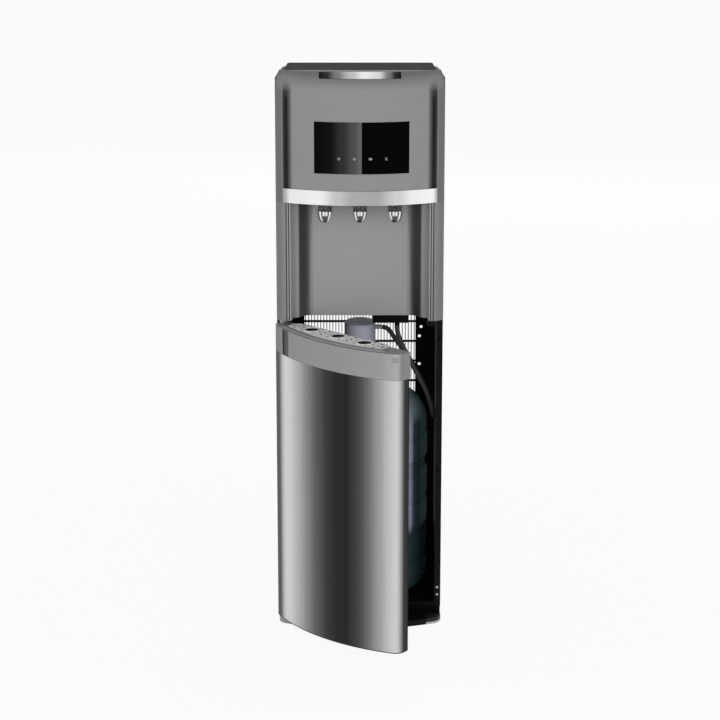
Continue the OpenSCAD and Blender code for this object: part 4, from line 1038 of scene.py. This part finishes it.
def lay_floor():
    deselect_all()
    bpy.ops.mesh.primitive_plane_add(size=60, location=(0, 0, -0.0005))
    floor = bpy.context.object
    floor.name = "studio_floor"
    finish = bpy.data.materials.new("pale_floor")
    finish.use_nodes = True
    tree = finish.node_tree
    shader = tree.nodes["Principled BSDF"]
    shader.inputs["Base Color"].default_value = (0.9, 0.9, 0.9, 1)
    shader.inputs["Roughness"].default_value = 0.8
    glow = tree.nodes.new("ShaderNodeEmission")
    glow.inputs["Strength"].default_value = 1.0
    part = tree.nodes.new("ShaderNodeMixShader")
    part.inputs[0].default_value = 0.93
    tree.links.new(shader.outputs[0], part.inputs[1])
    tree.links.new(glow.outputs[0], part.inputs[2])
    out = tree.nodes["Material Output"]
    tree.links.new(seen_or_lit(tree, part.outputs[0], shader.outputs[0]), out.inputs["Surface"])
    floor.data.materials.append(finish)


# ---------------------------------------------------------------- build

set_camera()
finishes = make_finishes()
lay_suction_hose(finishes["hose_grey"])

own_finish = {"chrome_band": band_chrome(), "alcove_shell": finishes["alcove_grey"],
              "magnet_catch": finishes["black_plastic"], "door_housing": housing_grey(),
              "foot_caps": foot_cap_grey(),
              "probe_tube": two_heights("probe_tube_finish", 205, 62, 0.553)}
SOFTENED = {                                # each node's round on its sharp edges, 0 for none
    "base_plinth": 0.0010, "foot_caps": 0.0008, "base_pan": 0.0006, "left_side_panel": 0.0004,
    "right_side_panel": 0.0004, "left_liner": 0.0004, "right_liner": 0.0004, "rear_sill": 0.0004,
    "mid_deck": 0.0006, "upper_rear_panel": 0.00015, "alcove_shell": 0.0008, "tap_plate": 0.0006,
    "chrome_band": 0.0009, "display_glass": 0.0003, "water_pump": 0.0006, "switch_plate": 0.0005,
    "power_inlet": 0.0004, "upper_hinge": 0.0004, "lower_hinge": 0.0004, "magnet_catch": 0.0004,
    "water_bottle": 0, "probe_tube": 0, "bottle_cap": 0.0012, "door_shell": 0.0005,
    "door_inner_panel": 0.0008, "door_skin": 0.0003, "door_housing": 0.0008, "strike_plate": 0.0003,
    "drip_tray": 0.0006, "drip_grille": 0.0003, "hot_switch": 0.0005, "cold_switch": 0.0005}
for node, edge in SOFTENED.items():
    slot = frame_nodes[node].data.materials[0].name
    soften(node, own_finish.get(node, finishes[slot]), edge)
roll_fascia(finishes["fascia_grey"])
roll_strip(roll_strip_chrome_painted_reflection())
turn_tap_cups(finishes["polished_metal"])
turn_tap_collars(speckled_rubber())
drive_screws(finishes["screw_zinc"])
print_marks(finishes["mark_print"])
shoulder_grey = moulded_plastic("shoulder_finish", 112, 0.7, Specular_IOR_Level=0.05)
slope_lid(finishes["dark_lid_plastic"], shoulder_grey)
# The rim is bright on top and painted black down the big openings' walls, as in shade
grille_rim = two_heights("grille_rim_painted_shade", 16, 252, 0.5990, 0.2)
shade_grille(bpy.data.objects["soft_drip_grille"], grille_rim, finishes["black_plastic"])
housing = bpy.data.objects["soft_door_housing"]
groove_at = (GROOVE_X, arc_front(GROOVE_X), GROOVE_Z)
sink(housing, groove_at, GROOVE_SIZE, math.asin(GROOVE_X / ARC_R), GROOVE_DEEP)
sink(housing, SQUARE_AT, SQUARE_SIZE, SQUARE_LEAN, SQUARE_DEEP)
for side in ("left", "right"):
    blacken_hem(bpy.data.objects["soft_" + side + "_side_panel"], finishes["black_plastic"])

# The CAD nodes take the same finishes; they show where no piece replaces them
for piece in frame_nodes.values():
    for holder in piece.material_slots:
        if holder.material.name in finishes:
            holder.material = finishes[holder.material.name]

light_studio()
lay_floor()
bpy.context.scene.view_settings.view_transform = "Standard"
